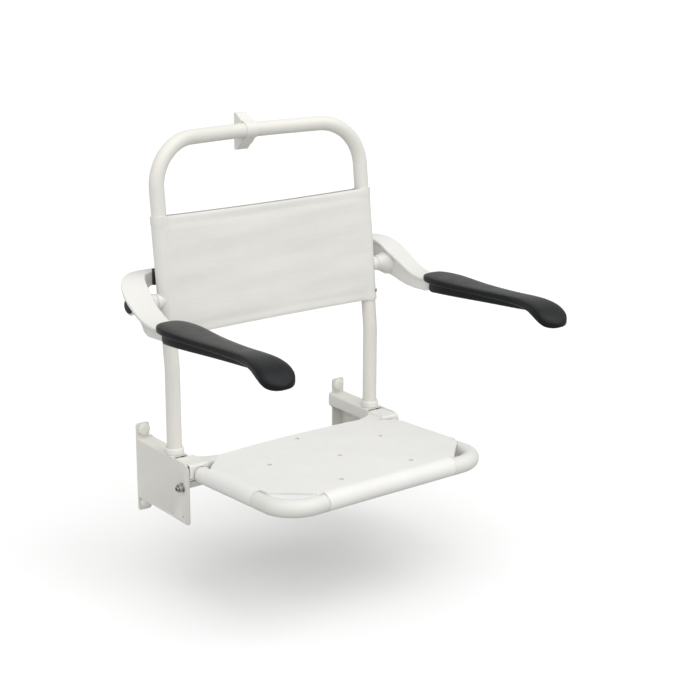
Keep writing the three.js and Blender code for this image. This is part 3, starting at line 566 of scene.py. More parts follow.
def cloth_material():
    """Coated cloth: a fine weave under the coating and long faint tension marks."""
    made, tree, shader, where = start_material("coated_cloth")
    patches(tree, shader, where, 9.0, 5.0, (0.770, 0.762, 0.726), (0.732, 0.724, 0.688))
    uneven_gloss(tree, shader, where, 60.0, 4.0, 0.46, 0.58)
    shader.inputs["Sheen Weight"].default_value = 0.12
    shader.inputs["Sheen Roughness"].default_value = 0.4
    band = 0.31416  # width of one band of a wave texture whose scale is 1
    pitch = 0.9  # one thread, in millimetres
    heights = []
    for direction in ("X", "Z"):
        wave = node(
            tree, "ShaderNodeTexWave", _bands_direction=direction, Scale=band / (pitch * MM),
            Distortion=0.4, Detail=1.0,
        )
        tree.links.new(where, wave.inputs["Vector"])
        heights.append(wave.outputs["Fac"])
    weave = node(tree, "ShaderNodeMath", _operation="MULTIPLY")
    tree.links.new(heights[0], weave.inputs[0])
    tree.links.new(heights[1], weave.inputs[1])
    first = bump(tree, shader, weave.outputs[0], 0.05 * MM)
    stretch = node(tree, "ShaderNodeMapping", Scale=(0.25, 1.0, 1.6))
    tree.links.new(where, stretch.inputs["Vector"])
    drawn = noise(tree, stretch.outputs["Vector"], 22.0, 3.0)
    bump(tree, shader, drawn, 1.1 * MM, under=first)
    return made


def foam_material():
    """Integral-skin foam: charcoal with a fine grain and paler rubbed patches."""
    made, tree, shader, where = start_material("pad_foam_skin")
    patches(tree, shader, where, 16.0, 5.0, (0.0070, 0.0080, 0.0090), (0.0050, 0.0058, 0.0068))
    uneven_gloss(tree, shader, where, 45.0, 4.0, 0.27, 0.36)
    shader.inputs["Specular IOR Level"].default_value = 0.21
    shader.inputs["Sheen Weight"].default_value = 0.05
    shader.inputs["Sheen Roughness"].default_value = 0.35
    grain = node(tree, "ShaderNodeTexVoronoi", Scale=1 / (1.1 * MM), Randomness=1.0)
    tree.links.new(where, grain.inputs["Vector"])
    first = bump(tree, shader, grain.outputs["Distance"], 0.05 * MM)
    bump(tree, shader, noise(tree, where, 260.0, 3.0), 0.12 * MM, under=first)
    return made


def steel_material():
    """Stainless steel with turning marks round each fastener and a few dull patches."""
    made, tree, shader, where = start_material("stainless_steel")
    patches(tree, shader, where, 90.0, 4.0, (0.50, 0.48, 0.44), (0.37, 0.355, 0.33))
    uneven_gloss(tree, shader, where, 500.0, 5.0, 0.22, 0.40)
    shader.inputs["Metallic"].default_value = 1.0
    stretch = node(tree, "ShaderNodeMapping", Scale=(1.0, 0.12, 0.12))
    tree.links.new(where, stretch.inputs["Vector"])
    bump(tree, shader, noise(tree, stretch.outputs["Vector"], 3200.0, 3.0), 0.02 * MM)
    return made


LOOKS = {
    "powder_coat": coated(
        "powder_coat_paint", light=(0.770, 0.758, 0.708), dark=(0.745, 0.733, 0.684),
        roughness=(0.34, 0.42), peel=0.012, peel_size=3.0, coat=0.12,
    ),
    "cast_white": coated(
        "casting_paint", light=(0.750, 0.745, 0.716), dark=(0.726, 0.720, 0.692),
        roughness=(0.34, 0.42), peel=0.012, peel_size=3.2, coat=0.12,
    ),
    "seat_plastic": coated(
        "seat_moulding", light=(0.812, 0.808, 0.788), dark=(0.785, 0.780, 0.760),
        roughness=(0.36, 0.50), peel=0.05, peel_size=0.8,
    ),
    "white_plastic": coated(
        "white_moulding", light=(0.790, 0.783, 0.740), dark=(0.755, 0.748, 0.706),
        roughness=(0.34, 0.48), peel=0.05, peel_size=0.9,
    ),
    # A darker copy of the seat moulding: painted shade for the low, downward-facing corner sleeves.
    "seat_plastic_painted_shade": coated(
        "corner_moulding_painted_shade", light=(0.755, 0.750, 0.718), dark=(0.730, 0.725, 0.693),
        roughness=(0.36, 0.50), peel=0.05, peel_size=0.8,
    ),
    "bearing_plastic": coated(
        "bearing_moulding", light=(0.66, 0.64, 0.57), dark=(0.60, 0.58, 0.52),
        roughness=(0.42, 0.55), peel=0.04, peel_size=0.7,
    ),
    "black_rubber": coated(
        "black_moulding", light=(0.016, 0.016, 0.017), dark=(0.010, 0.010, 0.011),
        roughness=(0.38, 0.56), peel=0.05, peel_size=0.6, patch=60.0,
    ),
    "black_steel": coated(
        "black_screw_paint", light=(0.018, 0.018, 0.019), dark=(0.011, 0.011, 0.012),
        roughness=(0.30, 0.45), peel=0.03, peel_size=0.5, patch=200.0,
    ),
    "coated_fabric": cloth_material(),
    "pad_foam": foam_material(),
    "stainless": steel_material(),
}


def paint(obj, look):
    obj.data.materials.clear()
    obj.data.materials.append(LOOKS[look])


def finish_piece(obj, name, slot_name, body, replaced):
    obj.name = name
    obj.data.name = name
    paint(obj, slot_name)
    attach(obj, body)
    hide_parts(*replaced)
    return obj


def one(obj, node_name, slot_name, body, angle=35):
    shade(obj, angle)
    return finish_piece(obj, f"visual_{node_name}", slot_name, body, [node_name])


def pair(obj, node_name, slot_name, bodies, angle=35):
    """The right-hand piece and its mirror image; `bodies` names the right and the left body."""
    shade(obj, angle)
    other = mirror_copy(obj, "left")
    made = []
    for side, piece, body in (("right", obj, bodies[0]), ("left", other, bodies[1])):
        full = f"{side}_{node_name}"
        made.append(finish_piece(piece, f"visual_{full}", slot_name, body, [full]))
    return made


FIXED = ("root", "root")
ON_SEAT = ("seat", "seat")
ON_ARM = ("right_arm", "left_arm")


# ------------------------------------------------------------------ wall brackets


def wall_bracket():
    channel = rounded(
        [
            (PLATE_X, -PLATE_HEIGHT),
            (PLATE_X, 0, 3.2),
            (FLANGE_X, 0, 5),
            (FLANGE_X, -FLANGE_HEIGHT),
            (FLANGE_X + SHEET, -FLANGE_HEIGHT),
            (FLANGE_X + SHEET, -SHEET, 2.5),
            (PLATE_INSIDE, -SHEET, 0.8),
            (PLATE_INSIDE, -PLATE_HEIGHT),
        ]
    )
    plate = rounded(
        [
            (-PLATE_DEPTH, 0, 14),
            (-PLATE_DEPTH, -PLATE_HEIGHT, 8),
            (-100, -PLATE_HEIGHT),
            (-100, -3.2),
            (-100, 0),
        ],
        steps=10,
    )
    wall_plate = rounded(
        [
            (TAB_X, TAB_TOP, 4),
            (TAB_X, 0.5, 1),
            (FLANGE_X, 0.5, 3),
            (FLANGE_X, -FLANGE_HEIGHT, 3),
            (TAB_X, -FLANGE_HEIGHT - 6, 2),
            (TAB_X, TAB_BOTTOM, 4),
            (PLATE_X, TAB_BOTTOM, 4),
            (PLATE_X, TAB_TOP, 4),
        ]
    )
    foot_shelf = block(
        FLANGE_X + SHEET + 1, PLATE_INSIDE + 0.2, BACK_Y - 14, BACK_Y + 14,
        BACK_FOOT - GAP - FOOT_SHELF, BACK_FOOT - GAP,
    )
    body = unite(
        prism(channel, "y", -TOP_DEPTH, 0),
        prism(plate, "x", PLATE_INSIDE, PLATE_X),
        prism(wall_plate, "y", -TAB_THICKNESS, 0),
        foot_shelf,
    )
    wall_holes = [
        rod(3, -5, 2, "y", (WALL_SCREW_X, 0, z), 24) for z in WALL_SCREW_HEIGHTS.values()
    ]
    bolt_hole = (4.3, PIN_Y, STOP_BOLT_Z)
    plate_holes = [
        rod(radius, PLATE_INSIDE - 2, PLATE_X + 2, "x", (0, y, z), 32)
        for radius, y, z in (bolt_hole, *((2.3, *place) for place in PLATE_HOLES))
    ]
    tube_hole = rod(13.1, -6, 3, "z", (BACK_X, BACK_Y, 0))
    foot_screw_hole = rod(3.3, BACK_FOOT - 8, BACK_FOOT + 2, "z", (BACK_X, BACK_Y, 0), 24)
    slit = block(
        FLANGE_X - 1, FLANGE_X + SHEET + 0.5, -TOP_DEPTH - 1, -TOP_DEPTH + 4,
        -FLANGE_HEIGHT - 1, -SHEET - 3,
    )
    cut(body, *wall_holes, *plate_holes, tube_hole, foot_screw_hole, slit)
    return soften(body, 0.8, 3)


pair(wall_bracket(), "wall_bracket", "powder_coat", FIXED)

cap_dome = rounded(
    [(0, -11.2), (7.5, -10.9, 8), (11, -7.2, 3), (11, -3.4, 0.5), (9.2, -3.3), (0, -3.3)],
    closed=False,
)
for tab, height in WALL_SCREW_HEIGHTS.items():
    cap = lathe(cap_dome, "y", (WALL_SCREW_X, 0, height))
    pair(cap, f"{tab}_wall_screw_cap", "white_plastic", FIXED)

collar = rounded(
    [(13.0, GAP), (15.9, GAP, 0.5), (15.6, 8, 1.6), (14.0, 11.5, 0.8), (13.0, 11.5, 0.4)],
    steps=5,
)
pair(
    lathe(collar, "z", (BACK_X, BACK_Y, 0), loop=True), "tube_collar", "white_plastic", FIXED
)

# ------------------------------------------------------------------ back frame

one(
    pipe("back", back_line(), TUBE_RADIUS, TUBE_BORE, 0.4),
    "back_frame_tube",
    "powder_coat",
    "root",
)


def fabric_rise(x, row):
    """How far the stretched cloth stands up at width x and a share of its height: soft ripples,
    a folded edge and the groove of its stitching."""
    ripple = 0.35 * math.sin(row * 19 + x * 0.011) + 0.25 * math.sin(row * 31 - x * 0.017 + 1.3)
    from_edge = min(row, 1 - row)
    fold = 0.9 * math.exp(-(((from_edge - 0.015) / 0.02) ** 2))
    stitching = 0.8 * math.exp(-(((from_edge - HEM) / 0.025) ** 2))
    return ripple + fold - stitching


def fabric_back():
    """One loop of coated cloth round both side tubes, pulled tight between them."""
    around = []  # (x, face or angle round a tube, slack or None on a tube)
    straight = np.linspace(-1, 1, 61)
    for u in straight:
        around.append((BACK_X * u, -1.0, 1 - u * u))
    for angle in np.linspace(-math.pi / 2, math.pi / 2, 19)[1:-1]:
        around.append((BACK_X, angle, None))
    for u in straight[::-1]:
        around.append((BACK_X * u, 1.0, 1 - u * u))
    for angle in np.linspace(math.pi / 2, 3 * math.pi / 2, 19)[1:-1]:
        around.append((-BACK_X, angle, None))
    rows = np.concatenate(
        [np.linspace(0, 0.06, 6), np.linspace(0.075, 0.925, 40), np.linspace(0.94, 1, 6)]
    )
    height = FABRIC_TO - FABRIC_FROM

    def middle(place, row):
        x, face, slack = place
        if slack is None:
            across = FABRIC_RADIUS * math.cos(face)
            return (x + math.copysign(abs(across), x), FABRIC_RADIUS * math.sin(face), row)
        edge = math.exp(-row / 0.07) + math.exp(-(1 - row) / 0.07)
        ends = min(1.0, slack / 0.16)
        ends = ends * ends * (3 - 2 * ends)
        draw = ends * (1.2 + 5.2 * edge)
        return (x, face * (FABRIC_RADIUS - draw + ends * fabric_rise(x, row)), row)

    def ring(row, half_thickness):
        line = [middle(p, row) for p in around]
        count = len(line)
        points = []
        for i, (x, behind, _) in enumerate(line):
            before, after = line[i - 1], line[(i + 1) % count]
            out = Vector((after[1] - before[1], before[0] - after[0])).normalized()
            dip = 2.2 * (1 - (x / (BACK_X + FABRIC_RADIUS)) ** 2) * (2 * row - 1)
            along = FABRIC_FROM + height * row - dip
            points.append(
                on_back(x + out.x * half_thickness, along, behind + out.y * half_thickness)
            )
        return points

    half = CLOTH_THICKNESS / 2
    hem = [half * (HEM_THICKENING if min(r, 1 - r) < HEM else 1.0) for r in rows]
    outer = [ring(r, h) for r, h in zip(rows, hem)]
    inner = [ring(r, -h) for r, h in zip(rows, hem)]
    return new_object("fabric", *skin(outer + inner[::-1], loop=True))


cloth = one(fabric_back(), "back_fabric_sleeve", "coated_fabric", "root", angle=60)

# ------------------------------------------------------------------ top wall support


def support_outline(points):
    return rounded([(y + BAR_MIDDLE[1], z + BAR_MIDDLE[2], *r) for y, z, *r in points])


def top_support_base():
    wall = -BAR_MIDDLE[1]
    outline = support_outline(
        [(wall, 27), (wall, -36), (wall - 7, -36, 2), (0, -14.5), (0, 13), (wall - 5, 27, 1.5)]
    )
    made = prism(outline, "x", -SUPPORT_HALF, SUPPORT_HALF)
    cut(made, rod(SUPPORT_BORE - 0.3, -20, 20, "x", BAR_MIDDLE))
    return soften(made, 1.0, 3)


def top_support_clamp():
    inner, outer = SUPPORT_BORE - 0.5, SUPPORT_BORE + 0.9
    arc = np.linspace(math.radians(93), math.radians(267), 33)
    strap = [(outer * math.cos(a), outer * math.sin(a)) for a in arc]
    strap += [(inner * math.cos(a), inner * math.sin(a)) for a in arc[::-1]]
    strap = [(y + BAR_MIDDLE[1], z + BAR_MIDDLE[2]) for y, z in strap]
    hook = support_outline([(-1.5, 12.9), (4, 15.9, 0.5), (3.2, 17.3, 0.5), (-1.5, 14.9)])
    ear = support_outline([(-1.5, -12.9), (9.5, -24.6, 0.5), (8.4, -25.7, 0.5), (-1.5, -14.9)])
    made = prism(strap, "x", -SUPPORT_HALF, SUPPORT_HALF)
    for shape in (hook, ear):
        unite(made, prism(shape, "x", -SUPPORT_HALF, SUPPORT_HALF))
    return soften(made, 0.45, 2)


one(top_support_base(), "top_support_base", "white_plastic", "root")
one(top_support_clamp(), "top_support_clamp", "white_plastic", "root")
sunk_screw = [(0, -8), (1.7, -8), (1.7, -0.5), (3.4, -0.5), (3.4, 0.4), (0, 0.4)]
one(
    lathe(sunk_screw, (0, -1, -1), CLAMP_SCREW, 24), "top_support_clamp_screw", "stainless",
    "root",
)

# ------------------------------------------------------------------ seat


def seat_tube():
    right = seat_corner_line(0, None)
    left = seat_corner_line(0, None, -1)[::-1]
    made = pipe("seat_tube", right + left, TUBE_RADIUS, TUBE_BORE)
    for side in (1, -1):
        span = sorted(side * end for end in KNUCKLE_SPAN)
        unite(made, rod(KNUCKLE_RADIUS, *span, "x", (0, 0, 0)))
        cut(made, rod(BUSH_HOLE, *sorted((side * 186, side * 222)), "x", (0, 0, 0)))
    return placed(soften(made, 0.4, 2), SEAT_PLACE)


def roll_outline():
    """Across a wrapped edge (outwards, up): flat above, round outside and below."""
    outside = [
        (-4 + (ROLL_RADIUS + 4) * math.cos(a), PANEL_TOP * math.sin(a))
        for a in np.linspace(0, math.pi / 2, 15)
    ]
    below = [
        (ROLL_RADIUS * math.cos(a), ROLL_RADIUS * math.sin(a))
        for a in np.linspace(math.pi, 2 * math.pi, 25)[:-1]
    ]
    return [(-ROLL_RADIUS, PANEL_TOP), *below, *outside]


def panel_outline():
    """Seen from above (x, y): straight sides, cut corners and a slightly bowed rear edge."""
    edge, front_edge = SEAT_X - 4, SEAT_FRONT + 4
    rear = [
        (x, 8 * (1 - (x / REAR_CUT_START) ** 2))
        for x in np.linspace(REAR_CUT_START, -REAR_CUT_START, 41)
    ]
    return [
        (-edge, -(edge - REAR_CUT_START)),
        (-edge, -(CORNER_LINE - edge)),
        (-(CORNER_LINE + front_edge), front_edge),
        (CORNER_LINE + front_edge, front_edge),
        (edge, -(CORNER_LINE - edge)),
        (edge, -(edge - REAR_CUT_START)),
        *rear,
    ]


def drain_places():
    """One hole in the middle of a ring of five."""
    turns = [math.pi / 2 + i * 2 * math.pi / 5 for i in range(5)]
    ring = [
        (DRAIN_CIRCLE * math.cos(a), DRAIN_CENTRE + DRAIN_CIRCLE * math.sin(a)) for a in turns
    ]
    return [(0, DRAIN_CENTRE), *ring]


def seat_panel():
    made = prism(panel_outline(), "z", PANEL_UNDERSIDE, PANEL_TOP)
    section = roll_outline()
    for side in (1, -1):
        roll = prism([(side * a, b) for a, b in section], "y", SLEEVE_SIDE_END - 1, ROLL_BACK)
        roll.data.transform(Matrix.Translation((side * SEAT_X * MM, 0, 0)))
        neck = rod(ROLL_RADIUS, ROLL_BACK - 1, -28, "y", (side * SEAT_X, 0, 0))
        unite(made, roll, neck)
    front = prism(section, "x", -SLEEVE_FRONT_END - 1, SLEEVE_FRONT_END + 1)
    front.data.transform(Matrix.Rotation(math.pi, 4, "Z"))
    front.data.transform(Matrix.Translation((0, SEAT_FRONT * MM, 0)))
    unite(made, front)
    below_top = PANEL_UNDERSIDE + 1
    for y, half in RIBS_ACROSS:
        unite(made, block(-half, half, y - RIB_HALF, y + RIB_HALF, RIB_BOTTOM, below_top))
    for x, end in RIBS_ALONG:
        unite(made, block(x - RIB_HALF, x + RIB_HALF, end, ROLL_BACK, RIB_BOTTOM, below_top))
    for x in (-PANEL_SCREW_X, PANEL_SCREW_X):
        unite(made, rod(6, 9, below_top, "z", (x, CROSS_BAR_Y, 0), 32))
    for x, y in drain_places():
        unite(made, rod(DRAIN_RADIUS + 1.8, 4.5, below_top, "z", (x, y, 0), 32))
    cut(made, *[rod(DRAIN_RADIUS, 0, 30, "z", (x, y, 0), 32) for x, y in drain_places()])
    for side in (1, -1):
        around = seat_corner_line(SLEEVE_SIDE_END, SLEEVE_FRONT_END, side)
        room = new_object("room", *skin(round_rings(around, ROLL_RADIUS + 0.6)))
        cut(made, room)
    bore = seat_corner_line(10, None) + seat_corner_line(10, None, -1)[::-1]
    cut(made, new_object("bore", *skin(round_rings(bore, TUBE_RADIUS + 0.2))))
    cut(made, rod(10.4, -SEAT_X + 8, SEAT_X - 8, "x", (0, CROSS_BAR_Y, 0)))
    return placed(soften(made, 0.7, 3), SEAT_PLACE)


def corner_sleeve():
    line = seat_corner_line(SLEEVE_SIDE_END - GAP, SLEEVE_FRONT_END + GAP)
    made = pipe("sleeve", line, ROLL_RADIUS + 0.1, TUBE_RADIUS + 0.2, 0.8)
    return placed(made, SEAT_PLACE)


def hinge_cover():
    skin_depth, front, back = 2.3, -21, 30.5
    lug_back, lug_bottom = -3.2, -24
    shell = rounded(
        [
            (back, COVER_TOP, 6),
            (back, 9, 0.6),
            (back - skin_depth, 9, 0.6),
            (back - skin_depth, COVER_TOP - skin_depth, 3),
            (front + skin_depth, COVER_TOP - skin_depth, 2),
            (front + skin_depth, -KNUCKLE_RADIUS - 0.6),
            (lug_back, -KNUCKLE_RADIUS - 0.6),
            (lug_back, lug_bottom, 1),
            (front, lug_bottom, 3),
            (front, COVER_TOP, 5),
        ],
        steps=8,
    )
    side_wall = rounded(
        [
            (back, COVER_TOP, 6),
            (back, 4, 3),
            (14, -12, 4),
            (lug_back, lug_bottom, 2),
            (front, lug_bottom, 3),
            (front, COVER_TOP, 5),
        ],
        steps=8,
    )
    wing_front, beside_panel = front + 0.4, 0.5
    wing = [
        (COVER_INSIDE + 1, wing_front),
        (REAR_CUT_START - wing_front + beside_panel, wing_front),
        (REAR_CUT_START + beside_panel, 0),
        (REAR_CUT_START + beside_panel, 3),
        (158, 4.8),
        (164, 6.3),
        (170, 8.6),
        (175, 11.6),
        (180, 16),
        (COVER_INSIDE + 1, 22),
    ]
    made = prism(shell, "x", COVER_INSIDE, COVER_OUTSIDE)
    unite(
        made,
        prism(side_wall, "x", COVER_INSIDE, COVER_INSIDE + SHEET),
        prism(wing, "z", PANEL_UNDERSIDE, PANEL_TOP),
        block(171.5, COVER_INSIDE + 1, wing_front + 0.1, wing_front + SHEET, 1, PANEL_TOP - 1),
    )
    tube_room = rod(13.4, front - 2, -6, "y", (SEAT_X, 0, 0))
    under_tube = block(
        COVER_INSIDE + SHEET, COVER_OUTSIDE + 1, front - 1, lug_back - STOP_LUG,
        lug_bottom - 1, -4,
    )
    cut(made, tube_room, under_tube)
    return placed(soften(made, 0.7, 3), SEAT_PLACE)


def cross_bar():
    half = SEAT_X - TUBE_RADIUS - GAP
    line = [(x, CROSS_BAR_Y, 0) for x in (-half, -half + 1, half - 1, half)]
    return placed(pipe("bar", line, 10, 8), SEAT_PLACE)


one(seat_tube(), "seat_frame_tube", "powder_coat", "seat")
one(seat_panel(), "seat_panel", "seat_plastic", "seat", angle=30)
one(cross_bar(), "seat_cross_bar", "powder_coat", "seat")
# The corner sleeves get the darker copy of the seat moulding, which is painted shade.
for sleeve in pair(corner_sleeve(), "corner_sleeve", "seat_plastic", ON_SEAT):
    paint(sleeve, "seat_plastic_painted_shade")
pair(hinge_cover(), "hinge_cover", "white_plastic", ON_SEAT)

# ------------------------------------------------------------------ stop bolts

bolt_profile = rounded(
    [(0, 198), (3.2, 198, 0.3), (4, 199, 0.5), (4, 235.4, 0.8), (2.5, 235.4, 0.3),
     (2.4, 231.8), (0, 231.4)],
    closed=False,
)
pair(
    lathe(bolt_profile, "x", (0, PIN_Y, STOP_BOLT_Z), 32), "stop_bolt", "stainless", FIXED
)
washer_profile = rounded(
    [(4.3, 223.3), (8, 223.3, 0.3), (8, 225, 0.5), (4.3, 225, 0.3)], steps=3
)
pair(
    lathe(washer_profile, "x", (0, PIN_Y, STOP_BOLT_Z), 48, loop=True),
    "stop_bolt_washer", "stainless", FIXED,
)


def stop_bolt_nut():
    centre = (0, PIN_Y, STOP_BOLT_Z)
    across = 6.5 / math.cos(math.pi / 6)
    made = rod(across, 225.3, 231.6, "x", centre, 6)
    chamfer = lathe(
        [(0, 225.2), (6.6, 225.2), (7.7, 226.2), (7.7, 230.7), (6.6, 231.7), (0, 231.7)],
        "x", centre,
    )
    common(made, chamfer)
    cut(made, rod(4.2, 220, 240, "x", centre, 32))
    return soften(made, 0.2, 2)


pair(stop_bolt_nut(), "stop_bolt_nut", "stainless", FIXED)

# ------------------------------------------------------------------ arm supports


def casting_plan():
    """Seen from above (x, y)."""
    turn_x, turn_y = BAND_OUTSIDE - TAIL_TURN, TAIL_BACK - TAIL_TURN
    line = [(199, TAIL_FRONT), (199, TAIL_BACK), (turn_x, TAIL_BACK)]
    for a in np.linspace(math.pi / 2, 0, 19)[1:]:
        line.append((turn_x + TAIL_TURN * math.cos(a), turn_y + TAIL_TURN * math.sin(a)))
    line += bezier((BAND_OUTSIDE, -172), (BAND_OUTSIDE, -192), (ARM_X + 12, -200))
    line += [(ARM_X + 8, TONGUE_END), (ARM_X - 8, TONGUE_END)]
    line += bezier((ARM_X - 12, -200), (252, -184), (251, -160))
    line += [(250.3, -140), (249.3, -125), (246.8, -110), (243, -94)]
    line += bezier((243, -92), (238, TAIL_FRONT), (218, TAIL_FRONT))
    return line


def casting_side():
    """Seen from the side (y, z)."""
    under = [(TAIL_FRONT, 282), (-67, 262), (-73, 247), (-86, 240.5), (-110, 235),
             (-135, 229.5), (-160, 227), (-190, 227)]
    over = [(-192, 250), (-172, 253), (-156, 257.5), (-135, 267), (-112, 279.5),
            (-90, 292.5), (-74, 301), (-58, 305.5), (-36, 306)]
    return [
        (-36, 282),
        *spline(under, 5),
        (-200, 229),
        (-202, 240),
        (TONGUE_END - 5, 242),
        (TONGUE_END - 5, 250),
        *spline(over, 5),
    ]


def below_band(back):
    """What lies under the casting's top band, seen from the side (y, z)."""
    over = [(-205, 244), (-188, 245), (-172, 247.5), (-156, 251.5), (-135, 261),
            (-112, 273.5), (-92, 285.5), (-78, 293), (-66, 297), (back, 299)]
    return [(back, 205), (-205, 205), *spline(over, 5)]


def rear_web():
    """The web behind the pivot, up to the inside of the turned tail and short of its rim."""
    outline = [(-92, 284), (-78, 293), (-66, 296.5), (-45, 298)]
    outline += spline([(-45, 284), (-47, 270), (-56, 256), (-70, 246), (-92, 239)], 5)
    inside_rim = [(x + 5, y) for x, y in casting_plan()]
    return common(
        prism(outline, "x", 224, 285),
        prism(casting_plan(), "z", 206, 324),
        prism(inside_rim, "z", 207, 323),
    )


def outer_pocket():
    """The hollow outside the web, which grows shallow towards the pad."""
    recess = [(305, -30), (262, -30), (262, -92), (268, -112), (275, -130), (279, -148),
              (279, -210), (305, -210)]
    return common(prism(recess, "z", 200, 301), prism(below_band(-30), "x", 250, 306))


def pivot_boss():
    profile = [
        (0, BOSS_START), (13, BOSS_START, 0.6), (15, 238, 3), (19, 247, 4), (22, 254, 3),
        (19, 261, 2), (13, 265, 1), (13, BOSS_END, 0.8), (0, BOSS_END),
    ]
    return lathe(rounded(profile, closed=False), "x", PIVOT)


def lower_outer_rim(obj):
    """Lowers the band towards its outer edge: not at all at the pad, fully from the pivot back."""
    rim_start, rim_width = 246, 45  # in x, from the middle of the chair outwards
    turn_start, turn_length = -188, 60  # in y, from the pad back
    drop = 5.5
    co = np.zeros(len(obj.data.vertices) * 3)
    obj.data.vertices.foreach_get("co", co)
    co = co.reshape(-1, 3)
    x, y = co[:, 0] / MM, co[:, 1] / MM
    outwards = np.clip((x - rim_start) / rim_width, 0, 1)
    at_turn = np.clip((y - turn_start) / turn_length, 0, 1)
    at_turn = at_turn * at_turn * (3 - 2 * at_turn)
    co[:, 2] -= drop * MM * outwards**1.6 * at_turn
    obj.data.vertices.foreach_set("co", co.ravel())
    obj.data.update()
    return obj


def arm_casting():
    made = prism(casting_plan(), "z", 205, 325)
    common(made, prism(casting_side(), "x", 185, 305))
    cut(made, prism(below_band(TAIL_FRONT), "x", 236, 257))
    unite(made, rear_web())
    cut(made, outer_pocket())
    unite(made, pivot_boss())
    return lower_outer_rim(melt(made, 1.15, 7))


pair(arm_casting(), "arm_casting", "cast_white", ON_ARM, angle=None)

cap_profile = rounded(
    [(0, 276.9), (12.1, 276.9, 0.4), (12.1, 279.2, 1.6), (7, 281.2, 6), (0, 281.5)],
    closed=False,
)
pair(lathe(cap_profile, "x", PIVOT), "arm_pivot_cap", "black_rubber", ON_ARM)


def covered_tube():
    """The room that a back tube and its fabric take up."""
    line = [on_back(BACK_X, FABRIC_FROM - 4), on_back(BACK_X, FABRIC_TO + 4)]
    return new_object("covered", *skin(round_rings(line, 14.7)))


spacer_profile = rounded(
    [(5.3, 212), (12.8, 212), (12.8, 217, 1.5), (11.6, 219.5, 1), (12.4, 222, 1.2),
     (12.4, 227.7, 0.8), (5.3, 227.7)],
    steps=4,
)
pair(
    cut(lathe(spacer_profile, "x", PIVOT, loop=True), covered_tube()),
    "arm_pivot_spacer", "white_plastic", FIXED,
)


def stop_buffer():
    outline = rounded(
        [(-62.3, 283.5, 0.4), (-62.3, 310.5, 0.4), (-68.4, 310.5, 1.8), (-68.4, 283.5, 1.8)]
    )
    made = prism(outline, "x", 199.5, 217.5)
    cut(made, covered_tube())
    return soften(made, 0.6, 3)


pair(stop_buffer(), "arm_stop_buffer", "black_rubber", ON_ARM)

screw_place = on_back(BACK_X, FABRIC_FROM + 16.8)
screw_profile = rounded(
    [(0, 10.3), (1.7, 10.3), (1.7, 14.6), (3.4, 14.6, 0.2), (3.2, 15.6, 0.6), (1.6, 16.3, 0.4),
     (1.5, 15.2), (0, 15.1)],
    closed=False,
)
pair(
    lathe(screw_profile, (1, -1, 0), screw_place, 24), "fabric_screw", "black_steel", FIXED
)

# ------------------------------------------------------------------ arm pads

# Tables of (y, half width) and (y, height) from the pads' back end to their front end.
PAD_WIDTHS = [
    (-190, 4), (-191.5, 10), (-197, 20.5), (-210, 27.8), (-232, 31.6), (-257, 31.2), (-288, 28),
    (-320, 24.6), (-355, 21.8), (-390, 20), (-418, 19.8), (-442, 21.8), (-462, 25.2),
    (-482, 28.2), (-498, 27.8), (-508, 21.5), (-513, 12), (-515, 2),
]
PAD_TOP = [
    (-190, 256.8), (-194, 259), (-204, 260.3), (-245, 260.6), (-300, 260.6), (-350, 262),
    (-400, 264.2), (-430, 265.8), (-452, 265.6), (-470, 263.4), (-486, 259), (-500, 251.5),
    (-510, 243), (-515, 236.5),
]
PAD_UNDER = [
    (-190, 248.2), (-198, 247), (-230, 247.6), (-300, 249.3), (-360, 250.8), (-420, 252),
    (-458, 249.5), (-475, 244), (-490, 237), (-502, 232), (-513, 230.5), (-515, 232.5),
]
SKIRT_UNDER = [
    (-209, 236), (-212, 231), (-219, 229.6), (-240, 231.5), (-300, 235), (-360, 239),
    (-420, 243.5), (-456, 248.5), (-467, 252),
]


def level(table, y):
    """Reads a table of (y, value) smoothly."""
    line = sorted(spline(table, 8))
    return float(np.interp(y, [p[0] for p in line], [p[1] for p in line]))


def loft_along_y(places, half_at, low_at, high_at, power, crown=0.0):
    """A closed form whose section is a rounded box, from one end to the other."""
    rings = []
    for y in places:
        half, low, high = half_at(y), low_at(y), high_at(y)
        ring = []
        for t in np.linspace(0, 2 * math.pi, 65)[:-1]:
            c, s = math.cos(t), math.sin(t)
            u = math.copysign(abs(c) ** (2 / power), c)
            v = math.copysign(abs(s) ** (2 / power), s)
            z = (low + high) / 2 + v * (high - low) / 2
            if v > 0:
                z += crown * (1 - u * u) * v
            ring.append((ARM_X + half * u, y, z))
        rings.append(ring)
    return new_object("loft", *skin(rings))


def arm_pad():
    """A spoon-shaped cap over a narrower skirt, melted together as foam is."""
    ends = [-190, -190.6, -191.5, -192.8, -194.5, -197]
    tip = [-498, -502, -505, -508, -510.5, -512.5, -514, -514.8]
    places = [*ends, *np.arange(-200, -496, -4.0), *tip]
    cap = loft_along_y(
        places,
        lambda y: level(PAD_WIDTHS, y),
        lambda y: level(PAD_UNDER, y),
        lambda y: level(PAD_TOP, y) - 0.6,
        power=5.0,
        crown=0.9,
    )
    below = [-209, -210, -212, *np.arange(-215, -462, -4.0), -464, -466]
    skirt = loft_along_y(
        below,
        lambda y: level(PAD_WIDTHS, y) - 8 - 5 * max(0.0, (y + 213) / 4) ** 2,
        lambda y: level(SKIRT_UNDER, y),
        lambda y: level(PAD_UNDER, y) + 4,
        power=5.0,
    )
    unite(cap, skirt)
    return melt(cap, 1.1, 2)


for pad in pair(arm_pad(), "arm_pad", "pad_foam", ON_ARM, angle=None):
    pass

# ------------------------------------------------------------------ carried-over nodes

